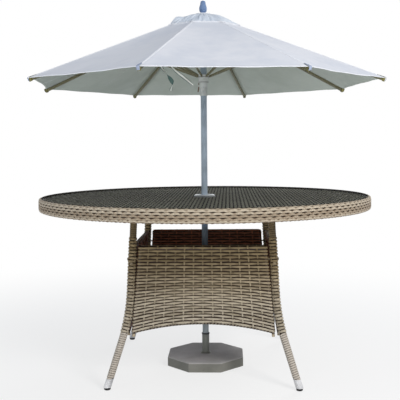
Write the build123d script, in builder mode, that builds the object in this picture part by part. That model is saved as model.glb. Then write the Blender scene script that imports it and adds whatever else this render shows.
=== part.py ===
from build123d import *
from math import atan2, cos, degrees, hypot, radians, sin, sqrt, tan
import os

# Umbrella table: a round woven table with a glass top, a parasol through its middle and the
# parasol's weight base under it. Millimetres, +Z up. The origin is on the floor, on the pole's axis.

# ---- Driving dimensions: table ----
table_height = 740.0
rim_radius = 712.0
rim_depth = 53.0
rim_band = 10.0  # thickness of the woven band outside the hoop
rim_round = 4.0
glass_radius = 701.0
glass_thickness = 5.0
glass_hole_radius = 50.0
pad_height = 3.0
pad_radius = 8.0
pad_circle_radius = 560.0
pad_count = 8
deck_thickness = 4.0
hoop_bar = 4.0
hoop_height = 36.0
rail_width = 24.0
rail_height = 20.0
rail_wall = 1.5
weld_gap = 0.2  # between a rail's end and the rail that it is welded to
centre_rail_x = 50.0
collar_radius = 38.0
collar_thickness = 4.0
hole_radius = 21.0  # the 42 mm parasol hole
eyelet_wall = 2.0
eyelet_flange_radius = 48.0
eyelet_proud = 1.5  # how far the flange stands over the glass
eyelet_length = 32.0
eyelet_flange_thickness = 4.0
nut_width = 60.0
nut_height = 12.0

# ---- Driving dimensions: legs ----
leg_radius = 16.0
leg_slim_radius = 13.5
leg_top_offset = 275.0  # from the middle of the table to a leg's centre, along X and along Y
leg_knee_offset = 295.3
leg_knee_z = 274.5
leg_foot_offset = 379.0
leg_bend_radius = 580.0
leg_slim_below_z = 207.0
leg_plate_size = 70.0
leg_plate_thickness = 4.0
pad_plate_thickness = 3.0
leg_bolt_offset = 22.0
ferrule_radius = 14.0
ferrule_top_z = 42.0
glide_radius = 13.0
glide_height = 10.0
glide_round = 4.0

# ---- Driving dimensions: skirt panels ----
panel_top_z = 556.5
panel_top_offset = 281.0  # from the middle of the table to a panel's middle plane, at its top
panel_lean = 3.4  # degrees, feet outwards
panel_top_half_width = 257.7
panel_bottom_half_width = 288.3
panel_drop = 356.0
panel_arch = 39.0
panel_thickness = 14.0
panel_corner_radius = 12.0
stile_radius = 6.0
stile_inset = 9.0
stile_poke = 9.0  # how far the capped tube ends show under the panel
panel_rail_drop = 300.0
bolt_drops = [55.0, 285.0]
bolt_stagger = 16.0  # the side panels' bolts are lower, so that they pass the front ones in the leg
bolt_radius = 3.0
bolt_head_radius = 6.0
bolt_head_height = 4.0

# ---- Driving dimensions: base ----
base_across_flats = 326.0
base_thickness = 40.0
base_chamfer = 4.0
base_pad_radius = 14.0
base_pad_height = 3.0
base_pad_circle = 130.0
base_pad_count = 8
stem_radius = 15.75
stem_wall = 1.5
stem_top_z = 126.0
stem_floor_z = 18.0
stem_floor_thickness = 6.0
stem_foot_radius = 24.0
stem_foot_height = 7.0
bush_lip_radius = 17.0
bush_lip_height = 5.0
bush_depth = 26.0
screw_z = 80.0
screw_radius = 3.0
screw_boss_radius = 7.0
screw_boss_end = 24.0
knob_radius = 12.0
knob_thickness = 11.0
knob_lobe_radius = 3.2
knob_lobe_count = 6

# ---- Driving dimensions: pole ----
pole_radius = 13.5
pole_wall = 1.25
pole_bottom_z = 18.3
pole_joint_z = 600.0
joiner_half_length = 100.0
pole_top_z = 1500.0
pole_pin_hole_z = 1303.0
pole_pin_hole_radius = 2.5
hinge_clearance = 0.05  # round a pin
running_clearance = 0.1  # round the pole
free_clearance = 0.3

# ---- Driving dimensions: canopy ----
rib_count = 8
first_rib_angle = 30.3  # degrees round from +X
canopy_corner_radius = 768.0
canopy_corner_z = 1224.5
rib_angle_open = 21.8  # degrees below the horizontal
rib_angle_closed = 67.0
canopy_hole_radius = 157.0
cloth_thickness = 1.2
cloth_over_rib = 8.6  # from a rib's centre line straight up to the cloth
hem_scallop = 12.0
cloth_gap = 0.2  # between one rib's cloth and the next
vent_radius = 167.0
vent_edge_z = 1479.0
vent_top_z = 1527.0
vent_top_radius = 30.0

# ---- Driving dimensions: crown, runner, ribs and struts ----
crown_radius = 27.0
crown_bottom_z = 1503.0
crown_top_z = 1525.5
crown_cap_thickness = 3.0
crown_skirt_radius = 16.5
crown_skirt_z = 1486.0
crown_pivot_radius = 22.0
slot_width = 5.0
hinge_pin_radius = 1.5
crown_pin_length = 11.0
rib_width = 8.0
rib_height = 12.0
rib_wall = 1.0
rib_blade_width = 4.2
rib_blade_length = 16.0
rib_cap_length = 10.0
rib_cap_width = 11.0
rib_cap_height = 14.0
rib_cap_gap = 0.03  # the cap is a piece of its own, pushed up to the rib's end
strut_pivot_distance = 360.0  # along a rib, from the crown's pivot
strut_width = 4.2
strut_height = 9.0
fork_width = 11.8
fork_length = 20.0
fork_depth = 15.0
runner_pivot_radius = 28.2
runner_pivot_z = 1257.5
runner_collar_radius = 26.0
runner_collar_bottom_z = 1250.5
runner_collar_top_z = 1264.5
runner_slot_radius = 22.3
runner_neck_radius = 22.0
runner_neck_z = 1230.3
runner_sleeve_radius = 16.5
runner_sleeve_z = 1172.3
runner_hole_radius = 1.8
runner_hole_heights = [1190.0, 1209.0]
catch_angle = first_rib_angle + 157.5  # midway between two struts
catch_width = 8.0
catch_ear_thickness = 2.0
catch_pivot_radius = 20.5
catch_pivot_z = 1215.0
catch_top_z = 1227.0
catch_bottom_z = 1189.0
catch_inner_radius = 19.0
catch_thickness = 4.0

# ---- Driving dimensions: finial and ties ----
finial_radius = 17.0
finial_neck_radius = 11.0
finial_neck_height = 10.5
finial_top_z = 1585.0
finial_stud_radius = 4.0
finial_stud_length = 16.0
tie_width = 18.0
tie_thickness = 1.5
tie_depth_y = -416.0  # where the ties hang, in front of the pole
tie_routes = [
    [(-160, 1338), (-171, 1290), (-164, 1252), (-127, 1214), (-104, 1165)],
    [(-128, 1330), (-136, 1290), (-124, 1250), (-79, 1219), (-34, 1180)],
]

# ---- Heights and sizes that follow ----
glass_bottom_z = table_height - glass_thickness
deck_top_z = glass_bottom_z - pad_height
deck_bottom_z = deck_top_z - deck_thickness
rail_bottom_z = deck_bottom_z - rail_height
hoop_radius = rim_radius - rim_band
hoop_inner_radius = hoop_radius - hoop_bar
hoop_bottom_z = deck_bottom_z - hoop_height
rim_bottom_z = table_height - rim_depth
rim_top_z = table_height - 2.0
eyelet_radius = hole_radius + eyelet_wall
leg_plate_top_z = rail_bottom_z - pad_plate_thickness
leg_top_z = leg_plate_top_z - leg_plate_thickness
base_bottom_z = base_pad_height
base_top_z = base_bottom_z + base_thickness
base_radius = base_across_flats / 2 / cos(radians(22.5))
stem_bore_radius = stem_radius - stem_wall
pole_bore_radius = pole_radius - pole_wall
canopy_fall = tan(radians(rib_angle_open))
crown_pivot_z = (
    canopy_corner_z + (canopy_corner_radius - crown_pivot_radius) * canopy_fall - cloth_over_rib
)
rib_length = (canopy_corner_radius - crown_pivot_radius) / cos(radians(rib_angle_open))

os.makedirs("parts", exist_ok=True)


def save(piece, name):
    """Label a finished piece and write it."""
    piece.part.label = name
    export_step(piece.part, f"parts/{name}.step")


def rod(start, end, radius):
    """A round bar from one point to another."""
    start, end = Vector(start), Vector(end)
    return Solid.make_cylinder(radius, (end - start).length, Plane(start, z_dir=end - start))


def bolt(seat, direction, length):
    """A bolt whose head stands on its seat and whose shank runs along the direction."""
    seat, along = Vector(seat), Vector(direction).normalized()
    head = rod(seat - along * bolt_head_height, seat, bolt_head_radius)
    return head.fuse(rod(seat, seat + along * length, bolt_radius))


def rib_azimuth(number):
    """Degrees round from +X of a rib, counted from 1."""
    return first_rib_angle + (number - 1) * 360 / rib_count


def upright_plane(azimuth, radius=0.0, z=0.0):
    """The vertical plane through the pole's axis at an azimuth: x runs outwards and y up."""
    outwards = Vector(cos(radians(azimuth)), sin(radians(azimuth)), 0)
    up = Vector(0, 0, 1)
    return Plane(outwards * radius + up * z, x_dir=outwards, z_dir=outwards.cross(up))


# ---- The opening linkage, worked out in a rib's own vertical plane ----
def strut_pivot_at(rib_angle):
    """Where a rib carries its strut: (distance from the pole's axis, height)."""
    out = crown_pivot_radius + strut_pivot_distance * cos(radians(rib_angle))
    up = crown_pivot_z - strut_pivot_distance * sin(radians(rib_angle))
    return out, up


strut_pivot_radius, strut_pivot_z = strut_pivot_at(rib_angle_open)
strut_reach = strut_pivot_radius - runner_pivot_radius
strut_rise = strut_pivot_z - runner_pivot_z
strut_length = hypot(strut_reach, strut_rise)
strut_angle_open = degrees(atan2(strut_rise, strut_reach))
closed_radius, closed_z = strut_pivot_at(rib_angle_closed)
closed_reach = closed_radius - runner_pivot_radius
closed_rise = sqrt(strut_length**2 - closed_reach**2)
runner_travel = runner_pivot_z - (closed_z - closed_rise)
strut_angle_closed = degrees(atan2(closed_rise, closed_reach))
rib_swing = rib_angle_closed - rib_angle_open
strut_swing = rib_swing + strut_angle_closed - strut_angle_open
print(f"crown pivot radius {crown_pivot_radius:.2f} z {crown_pivot_z:.4f}")
print(f"strut pivot radius {strut_pivot_radius:.4f} z {strut_pivot_z:.4f}")
print(f"runner travel {runner_travel:.4f}, rib swing {rib_swing:.4f}, strut swing {strut_swing:.4f}")


# ================================ Table top ================================
with BuildPart() as top_hoop:
    with BuildSketch(Plane.XY.offset(hoop_bottom_z)):
        Circle(hoop_radius)
        Circle(hoop_inner_radius, mode=Mode.SUBTRACT)
    extrude(amount=hoop_height)
save(top_hoop, "top_hoop")

# The band is wrapped round the hoop: up its outside, under it and a little way up its inside.
with BuildPart() as rim_weave:
    with BuildSketch(Plane.XZ):
        with BuildLine():
            Polyline(
                (hoop_radius, hoop_bottom_z),
                (hoop_radius, rim_top_z),
                (rim_radius, rim_top_z),
                (rim_radius, rim_bottom_z),
                (hoop_inner_radius - rim_round, rim_bottom_z),
                (hoop_inner_radius - rim_round, rail_bottom_z - 2),
                (hoop_inner_radius, rail_bottom_z - 2),
                (hoop_inner_radius, hoop_bottom_z),
                close=True,
            )
        rim_face = make_face()
        outer_corners = rim_face.vertices().group_by(Axis.X)[-1]
        fillet(outer_corners, radius=rim_round)
    revolve(axis=Axis.Z)
save(rim_weave, "rim_weave")

with BuildPart() as deck_weave:
    with BuildSketch(Plane.XY.offset(deck_bottom_z)):
        Circle(hoop_radius - free_clearance)
        Circle(eyelet_radius, mode=Mode.SUBTRACT)
    extrude(amount=deck_thickness)
save(deck_weave, "deck_weave")

with BuildPart() as glass_top:
    with BuildSketch(Plane.XY.offset(glass_bottom_z)):
        Circle(glass_radius)
        Circle(glass_hole_radius, mode=Mode.SUBTRACT)
    extrude(amount=glass_thickness)
    chamfer(glass_top.faces().sort_by(Axis.Z)[-1].edges().sort_by(SortBy.RADIUS)[-1], length=0.8)
save(glass_top, "glass_top")

with BuildPart() as glass_pads:
    with BuildSketch(Plane.XY.offset(deck_top_z)):
        with PolarLocations(pad_circle_radius, pad_count, start_angle=22.5):
            Circle(pad_radius)
    extrude(amount=pad_height)
save(glass_pads, "glass_pads")


def channel_rail(middle, length, along_x):
    """An inverted channel with its web under the deck."""
    turn = 0 if along_x else 90
    outside = Pos(*middle, rail_bottom_z) * Rot(0, 0, turn) * Box(
        length, rail_width, rail_height, align=(Align.CENTER, Align.CENTER, Align.MIN)
    )
    inside = Pos(*middle, rail_bottom_z) * Rot(0, 0, turn) * Box(
        length + 2,
        rail_width - 2 * rail_wall,
        rail_height - rail_wall,
        align=(Align.CENTER, Align.CENTER, Align.MIN),
    )
    return outside - inside


# Two rails run the full width. The others are cut between them, and each bar is a solid of its own.
full_chord = 2 * sqrt(hoop_inner_radius**2 - (leg_top_offset + rail_width / 2) ** 2)
rail_side = leg_top_offset + rail_width / 2 + weld_gap
side_length = full_chord / 2 - rail_side
side_middle = rail_side + side_length / 2
between_rails = 2 * leg_top_offset - rail_width - 2 * weld_gap
rails = []
for side in (-1, 1):
    rails.append(channel_rail((side * leg_top_offset, 0), full_chord, False))
    rails.append(channel_rail((0, side * leg_top_offset), between_rails, True))
    rails.append(channel_rail((side * centre_rail_x, 0), between_rails, False))
    for end in (-1, 1):
        rails.append(channel_rail((end * side_middle, side * leg_top_offset), side_length, True))
leg_corners = [(x * leg_top_offset, y * leg_top_offset) for x in (-1, 1) for y in (-1, 1)]
bolt_spots = [
    (x + side * leg_bolt_offset, y + side * leg_bolt_offset * (-1 if x * y > 0 else 1))
    for x, y in leg_corners
    for side in (-1, 1)
]
with BuildPart() as deck_rails:
    add(rails)
save(deck_rails, "deck_rails")

# Plates under the rails' crossings take the legs, and the collar plate takes the eyelet.
with BuildPart() as frame_plates:
    with BuildSketch(Plane.XY.offset(rail_bottom_z - pad_plate_thickness)):
        with Locations(*leg_corners):
            Rectangle(leg_plate_size, leg_plate_size)
        with Locations(*bolt_spots):
            Circle(bolt_radius, mode=Mode.SUBTRACT)
    extrude(amount=pad_plate_thickness)
    with BuildSketch(Plane.XY.offset(deck_bottom_z - collar_thickness)):
        Circle(collar_radius)
        Circle(eyelet_radius, mode=Mode.SUBTRACT)
    extrude(amount=collar_thickness)
    # two arms carry the collar from the centre rails
    with BuildSketch(Plane.XY.offset(deck_bottom_z - collar_thickness)):
        Rectangle(2 * centre_rail_x - rail_width, rail_width)
        Circle(collar_radius - 1, mode=Mode.SUBTRACT)
    extrude(amount=collar_thickness)
save(frame_plates, "frame_plates")

with BuildPart() as eyelet:
    with BuildSketch(Plane.XZ):
        with BuildLine():
            flange_top_z = table_height + eyelet_proud
            Polyline(
                (hole_radius, deck_top_z - eyelet_length),
                (eyelet_radius, deck_top_z - eyelet_length),
                (eyelet_radius, deck_top_z),
                (eyelet_flange_radius, deck_top_z),
                (eyelet_flange_radius, deck_top_z + eyelet_flange_thickness),
                (eyelet_flange_radius - 7, flange_top_z),
                (eyelet_flange_radius - 17, flange_top_z),
                (hole_radius + 4, deck_top_z + eyelet_flange_thickness),
                (hole_radius, deck_top_z),
                close=True,
            )
        make_face()
    revolve(axis=Axis.Z)
save(eyelet, "eyelet")

with BuildPart() as eyelet_nut:
    with BuildSketch(Plane.XY.offset(deck_bottom_z - collar_thickness - nut_height)):
        RegularPolygon(radius=nut_width / 2, side_count=6)
        Circle(eyelet_radius, mode=Mode.SUBTRACT)
    extrude(amount=nut_height)
save(eyelet_nut, "eyelet_nut")


# ================================ Skirt panels ================================
panel_sides = {"front": -90, "right": 0, "back": 90, "left": 180}


def panel_plane(azimuth):
    """A panel's middle plane: its origin is at the middle of the top edge, y up and z outwards."""
    outwards = Vector(cos(radians(azimuth)), sin(radians(azimuth)), 0)
    lean = radians(panel_lean)
    up = Vector(0, 0, 1) * cos(lean) - outwards * sin(lean)
    face_out = outwards * cos(lean) + Vector(0, 0, 1) * sin(lean)
    origin = outwards * panel_top_offset + Vector(0, 0, panel_top_z)
    return Plane(origin, x_dir=up.cross(face_out), z_dir=face_out)


def stile_x(drop):
    """How far a stile is from a panel's middle, at a distance down from the top edge."""
    spread = (panel_bottom_half_width - panel_top_half_width) * drop / panel_drop
    return panel_top_half_width + spread - stile_inset


def panel_frame(plane):
    """Two stiles and two rails of round tube."""
    top_end, bottom_end = stile_inset, panel_drop + stile_poke
    bars = []
    for side in (-1, 1):
        start = plane.from_local_coords((side * stile_x(top_end), -top_end, 0))
        end = plane.from_local_coords((side * stile_x(bottom_end), -bottom_end, 0))
        bars.append(rod(start, end, stile_radius))
    for drop in (top_end + stile_radius, panel_rail_drop):
        start = plane.from_local_coords((-stile_x(drop), -drop, 0))
        end = plane.from_local_coords((stile_x(drop), -drop, 0))
        bars.append(rod(start, end, stile_radius))
    return bars[0].fuse(*bars[1:])


def leg_offset(z):
    """How far a leg's straight runs are from the middle, along X and along Y, at a height."""
    if z > leg_knee_z:
        share = (leg_top_z - z) / (leg_top_z - leg_knee_z)
        return leg_top_offset + share * (leg_knee_offset - leg_top_offset)
    return leg_foot_offset + z / leg_knee_z * (leg_knee_offset - leg_foot_offset)


def panel_bolts(plane, extra_drop):
    """The bolts that hold a panel between its two legs, from outside each leg into the stile."""
    found = []
    for side in (-1, 1):
        for drop in (d + extra_drop for d in bolt_drops):
            reach = leg_offset(panel_top_z - drop) + leg_radius + 4
            seat = plane.from_local_coords((side * reach, -drop, 0))
            length = reach - stile_x(drop) - stile_radius - free_clearance
            found.append(bolt(seat, plane.x_dir * -side, length))
    return found


panel_planes = {side: panel_plane(azimuth) for side, azimuth in panel_sides.items()}
panel_frames = {side: panel_frame(plane) for side, plane in panel_planes.items()}
skirt_bolts = []
for side, plane in panel_planes.items():
    skirt_bolts += panel_bolts(plane, bolt_stagger if side in ("left", "right") else 0)

for side, plane in panel_planes.items():
    with BuildPart() as skirt_weave:
        with BuildSketch(plane):
            with BuildLine():
                top = Line((-panel_top_half_width, 0), (panel_top_half_width, 0))
                edge = Line(top @ 1, (panel_bottom_half_width, -panel_drop))
                ThreePointArc(
                    edge @ 1, (0, -panel_drop + panel_arch), (-panel_bottom_half_width, -panel_drop)
                )
                Line((-panel_bottom_half_width, -panel_drop), top @ 0)
            panel_face = make_face()
            fillet(panel_face.vertices(), radius=panel_corner_radius)
        extrude(amount=panel_thickness / 2, both=True)
        add(panel_frames[side], mode=Mode.SUBTRACT)
        add(skirt_bolts, mode=Mode.SUBTRACT)
    save(skirt_weave, f"skirt_weave_{side}")

with BuildPart() as skirt_frames:
    add(list(panel_frames.values()))
save(skirt_frames, "skirt_frames")


# ================================ Legs ================================
leg_bolts = [
    bolt((x, y, leg_top_z), (0, 0, 1), leg_plate_thickness + pad_plate_thickness)
    for x, y in bolt_spots
]
leg_names = {
    "leg_front_left": (-1, -1),
    "leg_front_right": (1, -1),
    "leg_back_left": (-1, 1),
    "leg_back_right": (1, 1),
}


def leg_points(side_x, side_y):
    """The corners of a leg's centre line, from the plate down to the floor."""
    plan = [
        (leg_top_offset, leg_top_z),
        (leg_knee_offset, leg_knee_z),
        (leg_foot_offset, 0),
    ]
    return [Vector(side_x * out, side_y * out, z) for out, z in plan]


for leg_name, (side_x, side_y) in leg_names.items():
    with BuildPart() as leg:
        with BuildLine() as leg_line:
            FilletPolyline(*leg_points(side_x, side_y), radius=leg_bend_radius)
        with BuildSketch(Plane(leg_line.line @ 0, z_dir=leg_line.line % 0)):
            Circle(leg_radius)
        sweep(path=leg_line.line)
        split(bisect_by=Plane.XY.offset(leg_slim_below_z), keep=Keep.TOP)
        with BuildSketch(Plane(leg_line.line @ 0, z_dir=leg_line.line % 0)):
            Circle(leg_slim_radius)
        sweep(path=leg_line.line)
        split(bisect_by=Plane.XY.offset(ferrule_top_z), keep=Keep.TOP)
        split(bisect_by=Plane.XY.offset(leg_top_z), keep=Keep.BOTTOM)
        with BuildSketch(Plane.XY.offset(leg_top_z)):
            with Locations((side_x * leg_top_offset, side_y * leg_top_offset)):
                Rectangle(leg_plate_size, leg_plate_size)
        extrude(amount=leg_plate_thickness)
        add(leg_bolts + skirt_bolts, mode=Mode.SUBTRACT)
    save(leg, leg_name)

with BuildPart() as frame_bolts:
    add(leg_bolts + skirt_bolts)
save(frame_bolts, "frame_bolts")

ferrules = []
for side_x, side_y in leg_names.values():
    _, knee, foot = leg_points(side_x, side_y)
    ferrules.append(rod(foot + (foot - knee) * 0.1, foot + (knee - foot) * 0.3, ferrule_radius))
with BuildPart() as leg_ferrules:
    add(ferrules)
    split(bisect_by=Plane.XY.offset(ferrule_top_z), keep=Keep.BOTTOM)
    split(bisect_by=Plane.XY.offset(glide_height), keep=Keep.TOP)
save(leg_ferrules, "leg_ferrules")

glide_offset = leg_offset(glide_height)
with BuildPart() as foot_glides:
    with BuildSketch():
        with Locations(*[(x * glide_offset, y * glide_offset) for x, y in leg_names.values()]):
            Circle(glide_radius)
    extrude(amount=glide_height)
    fillet(foot_glides.edges().group_by(Axis.Z)[0], radius=glide_round)
save(foot_glides, "foot_glides")


# ================================ Base ================================
with BuildPart() as base_weight:
    with BuildSketch(Plane.XY.offset(base_bottom_z)):
        RegularPolygon(radius=base_radius, side_count=8, rotation=22.5)
    extrude(amount=base_thickness)
    chamfer(base_weight.faces().sort_by(Axis.Z)[-1].edges(), length=base_chamfer)
    with BuildSketch(Plane.XY.offset(stem_floor_z - stem_floor_thickness)):
        Circle(stem_radius)
    extrude(amount=base_top_z, mode=Mode.SUBTRACT)
save(base_weight, "base_weight")

with BuildPart() as base_pads:
    with BuildSketch():
        with PolarLocations(base_pad_circle, base_pad_count, start_angle=22.5):
            Circle(base_pad_radius)
    extrude(amount=base_pad_height)
save(base_pads, "base_pads")

with BuildPart() as base_stem:
    with BuildSketch(Plane.XZ):
        with BuildLine():
            Polyline(
                (0, stem_floor_z - stem_floor_thickness),
                (stem_radius, stem_floor_z - stem_floor_thickness),
                (stem_radius, base_top_z),
                (stem_foot_radius, base_top_z),
                (stem_foot_radius - 3, base_top_z + 2.5),
                (stem_radius, base_top_z + stem_foot_height),
                (stem_radius, stem_top_z),
                (stem_bore_radius, stem_top_z),
                (stem_bore_radius, stem_floor_z),
                (0, stem_floor_z),
                close=True,
            )
        make_face()
    revolve(axis=Axis.Z)
    screw_plane = Plane((0, 0, screw_z), x_dir=(1, 0, 0), z_dir=(0, 1, 0))
    with BuildSketch(screw_plane.offset(stem_bore_radius + stem_wall / 2)):
        Circle(screw_boss_radius)
    extrude(amount=screw_boss_end - stem_bore_radius - stem_wall / 2)
    with BuildSketch(screw_plane.offset(stem_bore_radius - 3)):
        Circle(screw_radius + hinge_clearance)
    extrude(amount=screw_boss_end, mode=Mode.SUBTRACT)
save(base_stem, "base_stem")

with BuildPart() as stem_bush:
    with BuildSketch(Plane.XY.offset(stem_top_z)):
        Circle(bush_lip_radius)
        Circle(pole_radius + running_clearance, mode=Mode.SUBTRACT)
    extrude(amount=bush_lip_height)
    with BuildSketch(Plane.XY.offset(stem_top_z - bush_depth)):
        Circle(stem_bore_radius)
        Circle(pole_radius + running_clearance, mode=Mode.SUBTRACT)
    extrude(amount=bush_depth)
save(stem_bush, "stem_bush")

with BuildPart() as clamp_screw:
    with BuildSketch(screw_plane.offset(pole_radius + free_clearance)):
        Circle(screw_radius)
    extrude(amount=screw_boss_end + 2)
    with BuildSketch(screw_plane.offset(screw_boss_end + 2)):
        Circle(knob_radius)
        with PolarLocations(knob_radius + 1, knob_lobe_count):
            Circle(knob_lobe_radius, mode=Mode.SUBTRACT)
    extrude(amount=knob_thickness)
save(clamp_screw, "clamp_screw")


# ================================ Pole ================================
def tube(outer, inner, bottom_z, top_z):
    """A length of round tube on the pole's axis."""
    with BuildPart() as made:
        with BuildSketch(Plane.XY.offset(bottom_z)):
            Circle(outer)
            Circle(inner, mode=Mode.SUBTRACT)
        extrude(amount=top_z - bottom_z)
    return made


lower_pole = tube(pole_radius, pole_bore_radius, pole_bottom_z, pole_joint_z)
save(lower_pole, "lower_pole")

joiner_radius = pole_bore_radius - hinge_clearance
pole_joiner = tube(
    joiner_radius,
    joiner_radius - pole_wall,
    pole_joint_z - joiner_half_length,
    pole_joint_z + joiner_half_length,
)
save(pole_joiner, "pole_joiner")

with BuildPart() as upper_pole:
    add(tube(pole_radius, pole_bore_radius, pole_joint_z + free_clearance, pole_top_z).part)
    with BuildSketch(Plane((0, 0, pole_pin_hole_z), x_dir=(1, 0, 0), z_dir=(0, 1, 0))):
        Circle(pole_pin_hole_radius)
    extrude(amount=2 * pole_radius, both=True, mode=Mode.SUBTRACT)
save(upper_pole, "upper_pole")


# ================================ Crown and finial ================================
rib_azimuths = [rib_azimuth(number) for number in range(1, rib_count + 1)]
crown_pins_list = []
for azimuth in rib_azimuths:
    plane = upright_plane(azimuth, crown_pivot_radius, crown_pivot_z)
    half = plane.z_dir * (crown_pin_length / 2)
    crown_pins_list.append(rod(plane.origin - half, plane.origin + half, hinge_pin_radius))

with BuildPart() as crown:
    with BuildSketch(Plane.XY.offset(crown_bottom_z)):
        Circle(crown_radius)
    extrude(amount=crown_top_z - crown_bottom_z)
    slot_start = crown_pivot_radius - rib_height / 2
    for azimuth in rib_azimuths:
        with BuildSketch(Plane.XY.offset(crown_bottom_z)):
            with PolarLocations(slot_start, 1, start_angle=azimuth):
                Rectangle(crown_radius, slot_width, align=(Align.MIN, Align.CENTER))
        extrude(amount=crown_top_z - crown_bottom_z - crown_cap_thickness, mode=Mode.SUBTRACT)
    with BuildSketch(Plane.XY.offset(crown_skirt_z)):
        Circle(crown_skirt_radius)
    extrude(amount=crown_bottom_z - crown_skirt_z)
    with BuildSketch(Plane.XY.offset(crown_skirt_z)):
        Circle(pole_radius)
    extrude(amount=pole_top_z - crown_skirt_z, mode=Mode.SUBTRACT)
    add(crown_pins_list, mode=Mode.SUBTRACT)
    with BuildSketch(Plane.XY.offset(vent_top_z - finial_stud_length)):
        Circle(finial_stud_radius)
    extrude(amount=finial_stud_length, mode=Mode.SUBTRACT)
save(crown, "crown")

with BuildPart() as crown_pins:
    add(crown_pins_list)
save(crown_pins, "crown_pins")

with BuildPart() as finial:
    with BuildSketch(Plane.XZ):
        with BuildLine():
            finial_bottom_z = vent_top_z
            shoulder_z = finial_bottom_z + finial_neck_height
            wide_z = shoulder_z + 14
            Line((0, finial_bottom_z), (finial_neck_radius + 2, finial_bottom_z))
            Line((finial_neck_radius + 2, finial_bottom_z), (finial_neck_radius, shoulder_z - 3))
            Line((finial_neck_radius, shoulder_z - 3), (finial_radius - 2, shoulder_z))
            Spline(
                (finial_radius - 2, shoulder_z),
                (finial_radius, wide_z),
                (finial_radius * 0.72, wide_z + 19),
                (0, finial_top_z),
                tangents=[(0.3, 1), (-1, 0)],
            )
            Line((0, finial_top_z), (0, finial_bottom_z))
        make_face()
    revolve(axis=Axis.Z)
    with BuildSketch(Plane.XY.offset(finial_bottom_z - finial_stud_length)):
        Circle(finial_stud_radius)
    extrude(amount=finial_stud_length)
save(finial, "finial")


# ================================ Runner ================================
catch_plane = upright_plane(catch_angle, catch_pivot_radius, catch_pivot_z)
catch_half_pin = catch_plane.z_dir * (catch_width / 2 + catch_ear_thickness)
catch_pin = rod(
    catch_plane.origin - catch_half_pin, catch_plane.origin + catch_half_pin, hinge_pin_radius
)
catch_pin_hole = rod(
    catch_plane.origin - catch_half_pin * 1.2,
    catch_plane.origin + catch_half_pin * 1.2,
    hinge_pin_radius + hinge_clearance,
)

with BuildPart() as runner:
    for radius, bottom_z, top_z in (
        (runner_sleeve_radius, runner_sleeve_z, runner_neck_z),
        (runner_neck_radius, runner_neck_z, runner_collar_bottom_z),
        (runner_collar_radius, runner_collar_bottom_z, runner_collar_top_z),
    ):
        with BuildSketch(Plane.XY.offset(bottom_z)):
            Circle(radius)
        extrude(amount=top_z - bottom_z)
    for azimuth in rib_azimuths:
        with BuildSketch(Plane.XY.offset(runner_collar_bottom_z)):
            with PolarLocations(runner_slot_radius, 1, start_angle=azimuth):
                Rectangle(runner_collar_radius, slot_width, align=(Align.MIN, Align.CENTER))
        extrude(amount=runner_collar_top_z - runner_collar_bottom_z, mode=Mode.SUBTRACT)
    # two ears carry the catch's pin
    ear_offset = catch_width / 2 + free_clearance
    for side in (-1, 1):
        near = ear_offset if side > 0 else -ear_offset - catch_ear_thickness
        with BuildSketch(catch_plane.offset(near)):
            with Locations((-(catch_pivot_radius - pole_radius - 2) / 2, 0)):
                Rectangle(catch_pivot_radius - pole_radius + 4, 10)
        extrude(amount=catch_ear_thickness)
    with BuildSketch(Plane.XY.offset(runner_sleeve_z)):
        Circle(pole_radius + running_clearance)
    extrude(amount=runner_collar_top_z - runner_sleeve_z, mode=Mode.SUBTRACT)
    for height in runner_hole_heights:
        with BuildSketch(Plane((0, 0, height), x_dir=(1, 0, 0), z_dir=(0, -1, 0))):
            Circle(runner_hole_radius)
        extrude(amount=2 * runner_sleeve_radius, mode=Mode.SUBTRACT)
    add(catch_pin_hole, mode=Mode.SUBTRACT)
save(runner, "runner")

with BuildPart() as runner_catch:
    with BuildSketch(catch_plane):
        with BuildLine():
            outer = catch_inner_radius + catch_thickness - catch_pivot_radius
            inner = catch_inner_radius - catch_pivot_radius
            Polyline(
                (inner, catch_top_z - catch_pivot_z),
                (outer, catch_top_z - catch_pivot_z),
                (outer, 0),
                (outer + 4, catch_bottom_z - catch_pivot_z),
                (outer, catch_bottom_z - catch_pivot_z),
                (inner, -6),
                close=True,
            )
        make_face()
    extrude(amount=catch_width / 2, both=True)
    add(catch_pin)
save(runner_catch, "runner_catch")


# ================================ Ribs, struts and canopy ================================
def along_rib(azimuth, angle):
    """The plane of a rib: its origin is the crown's pivot, x runs out along the rib and y is up."""
    upright = upright_plane(azimuth, crown_pivot_radius, crown_pivot_z)
    along = upright.x_dir.rotate(Axis((0, 0, 0), upright.z_dir), -angle)
    return Plane(upright.origin, x_dir=along, z_dir=upright.z_dir)


with BuildPart() as canopy_shell:
    for drop, mode in ((0, Mode.ADD), (cloth_thickness, Mode.SUBTRACT)):
        hole_z = canopy_corner_z + (canopy_corner_radius - canopy_hole_radius) * canopy_fall
        with BuildSketch(Plane.XY.offset(canopy_corner_z + cloth_thickness - drop)):
            RegularPolygon(radius=canopy_corner_radius, side_count=rib_count, rotation=first_rib_angle)
        with BuildSketch(Plane.XY.offset(hole_z + cloth_thickness - drop)):
            RegularPolygon(radius=canopy_hole_radius, side_count=rib_count, rotation=first_rib_angle)
        loft(mode=mode)
    with BuildSketch(Plane.XY.offset(canopy_corner_z)):
        RegularPolygon(radius=canopy_hole_radius, side_count=rib_count, rotation=first_rib_angle)
    extrude(amount=canopy_corner_radius, mode=Mode.SUBTRACT)

hem_middle_radius = canopy_corner_radius * cos(radians(22.5)) - hem_scallop
hem_chord = 2 * canopy_corner_radius * sin(radians(22.5))
hem_arc_radius = hem_chord**2 / 8 / hem_scallop + hem_scallop / 2

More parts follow.
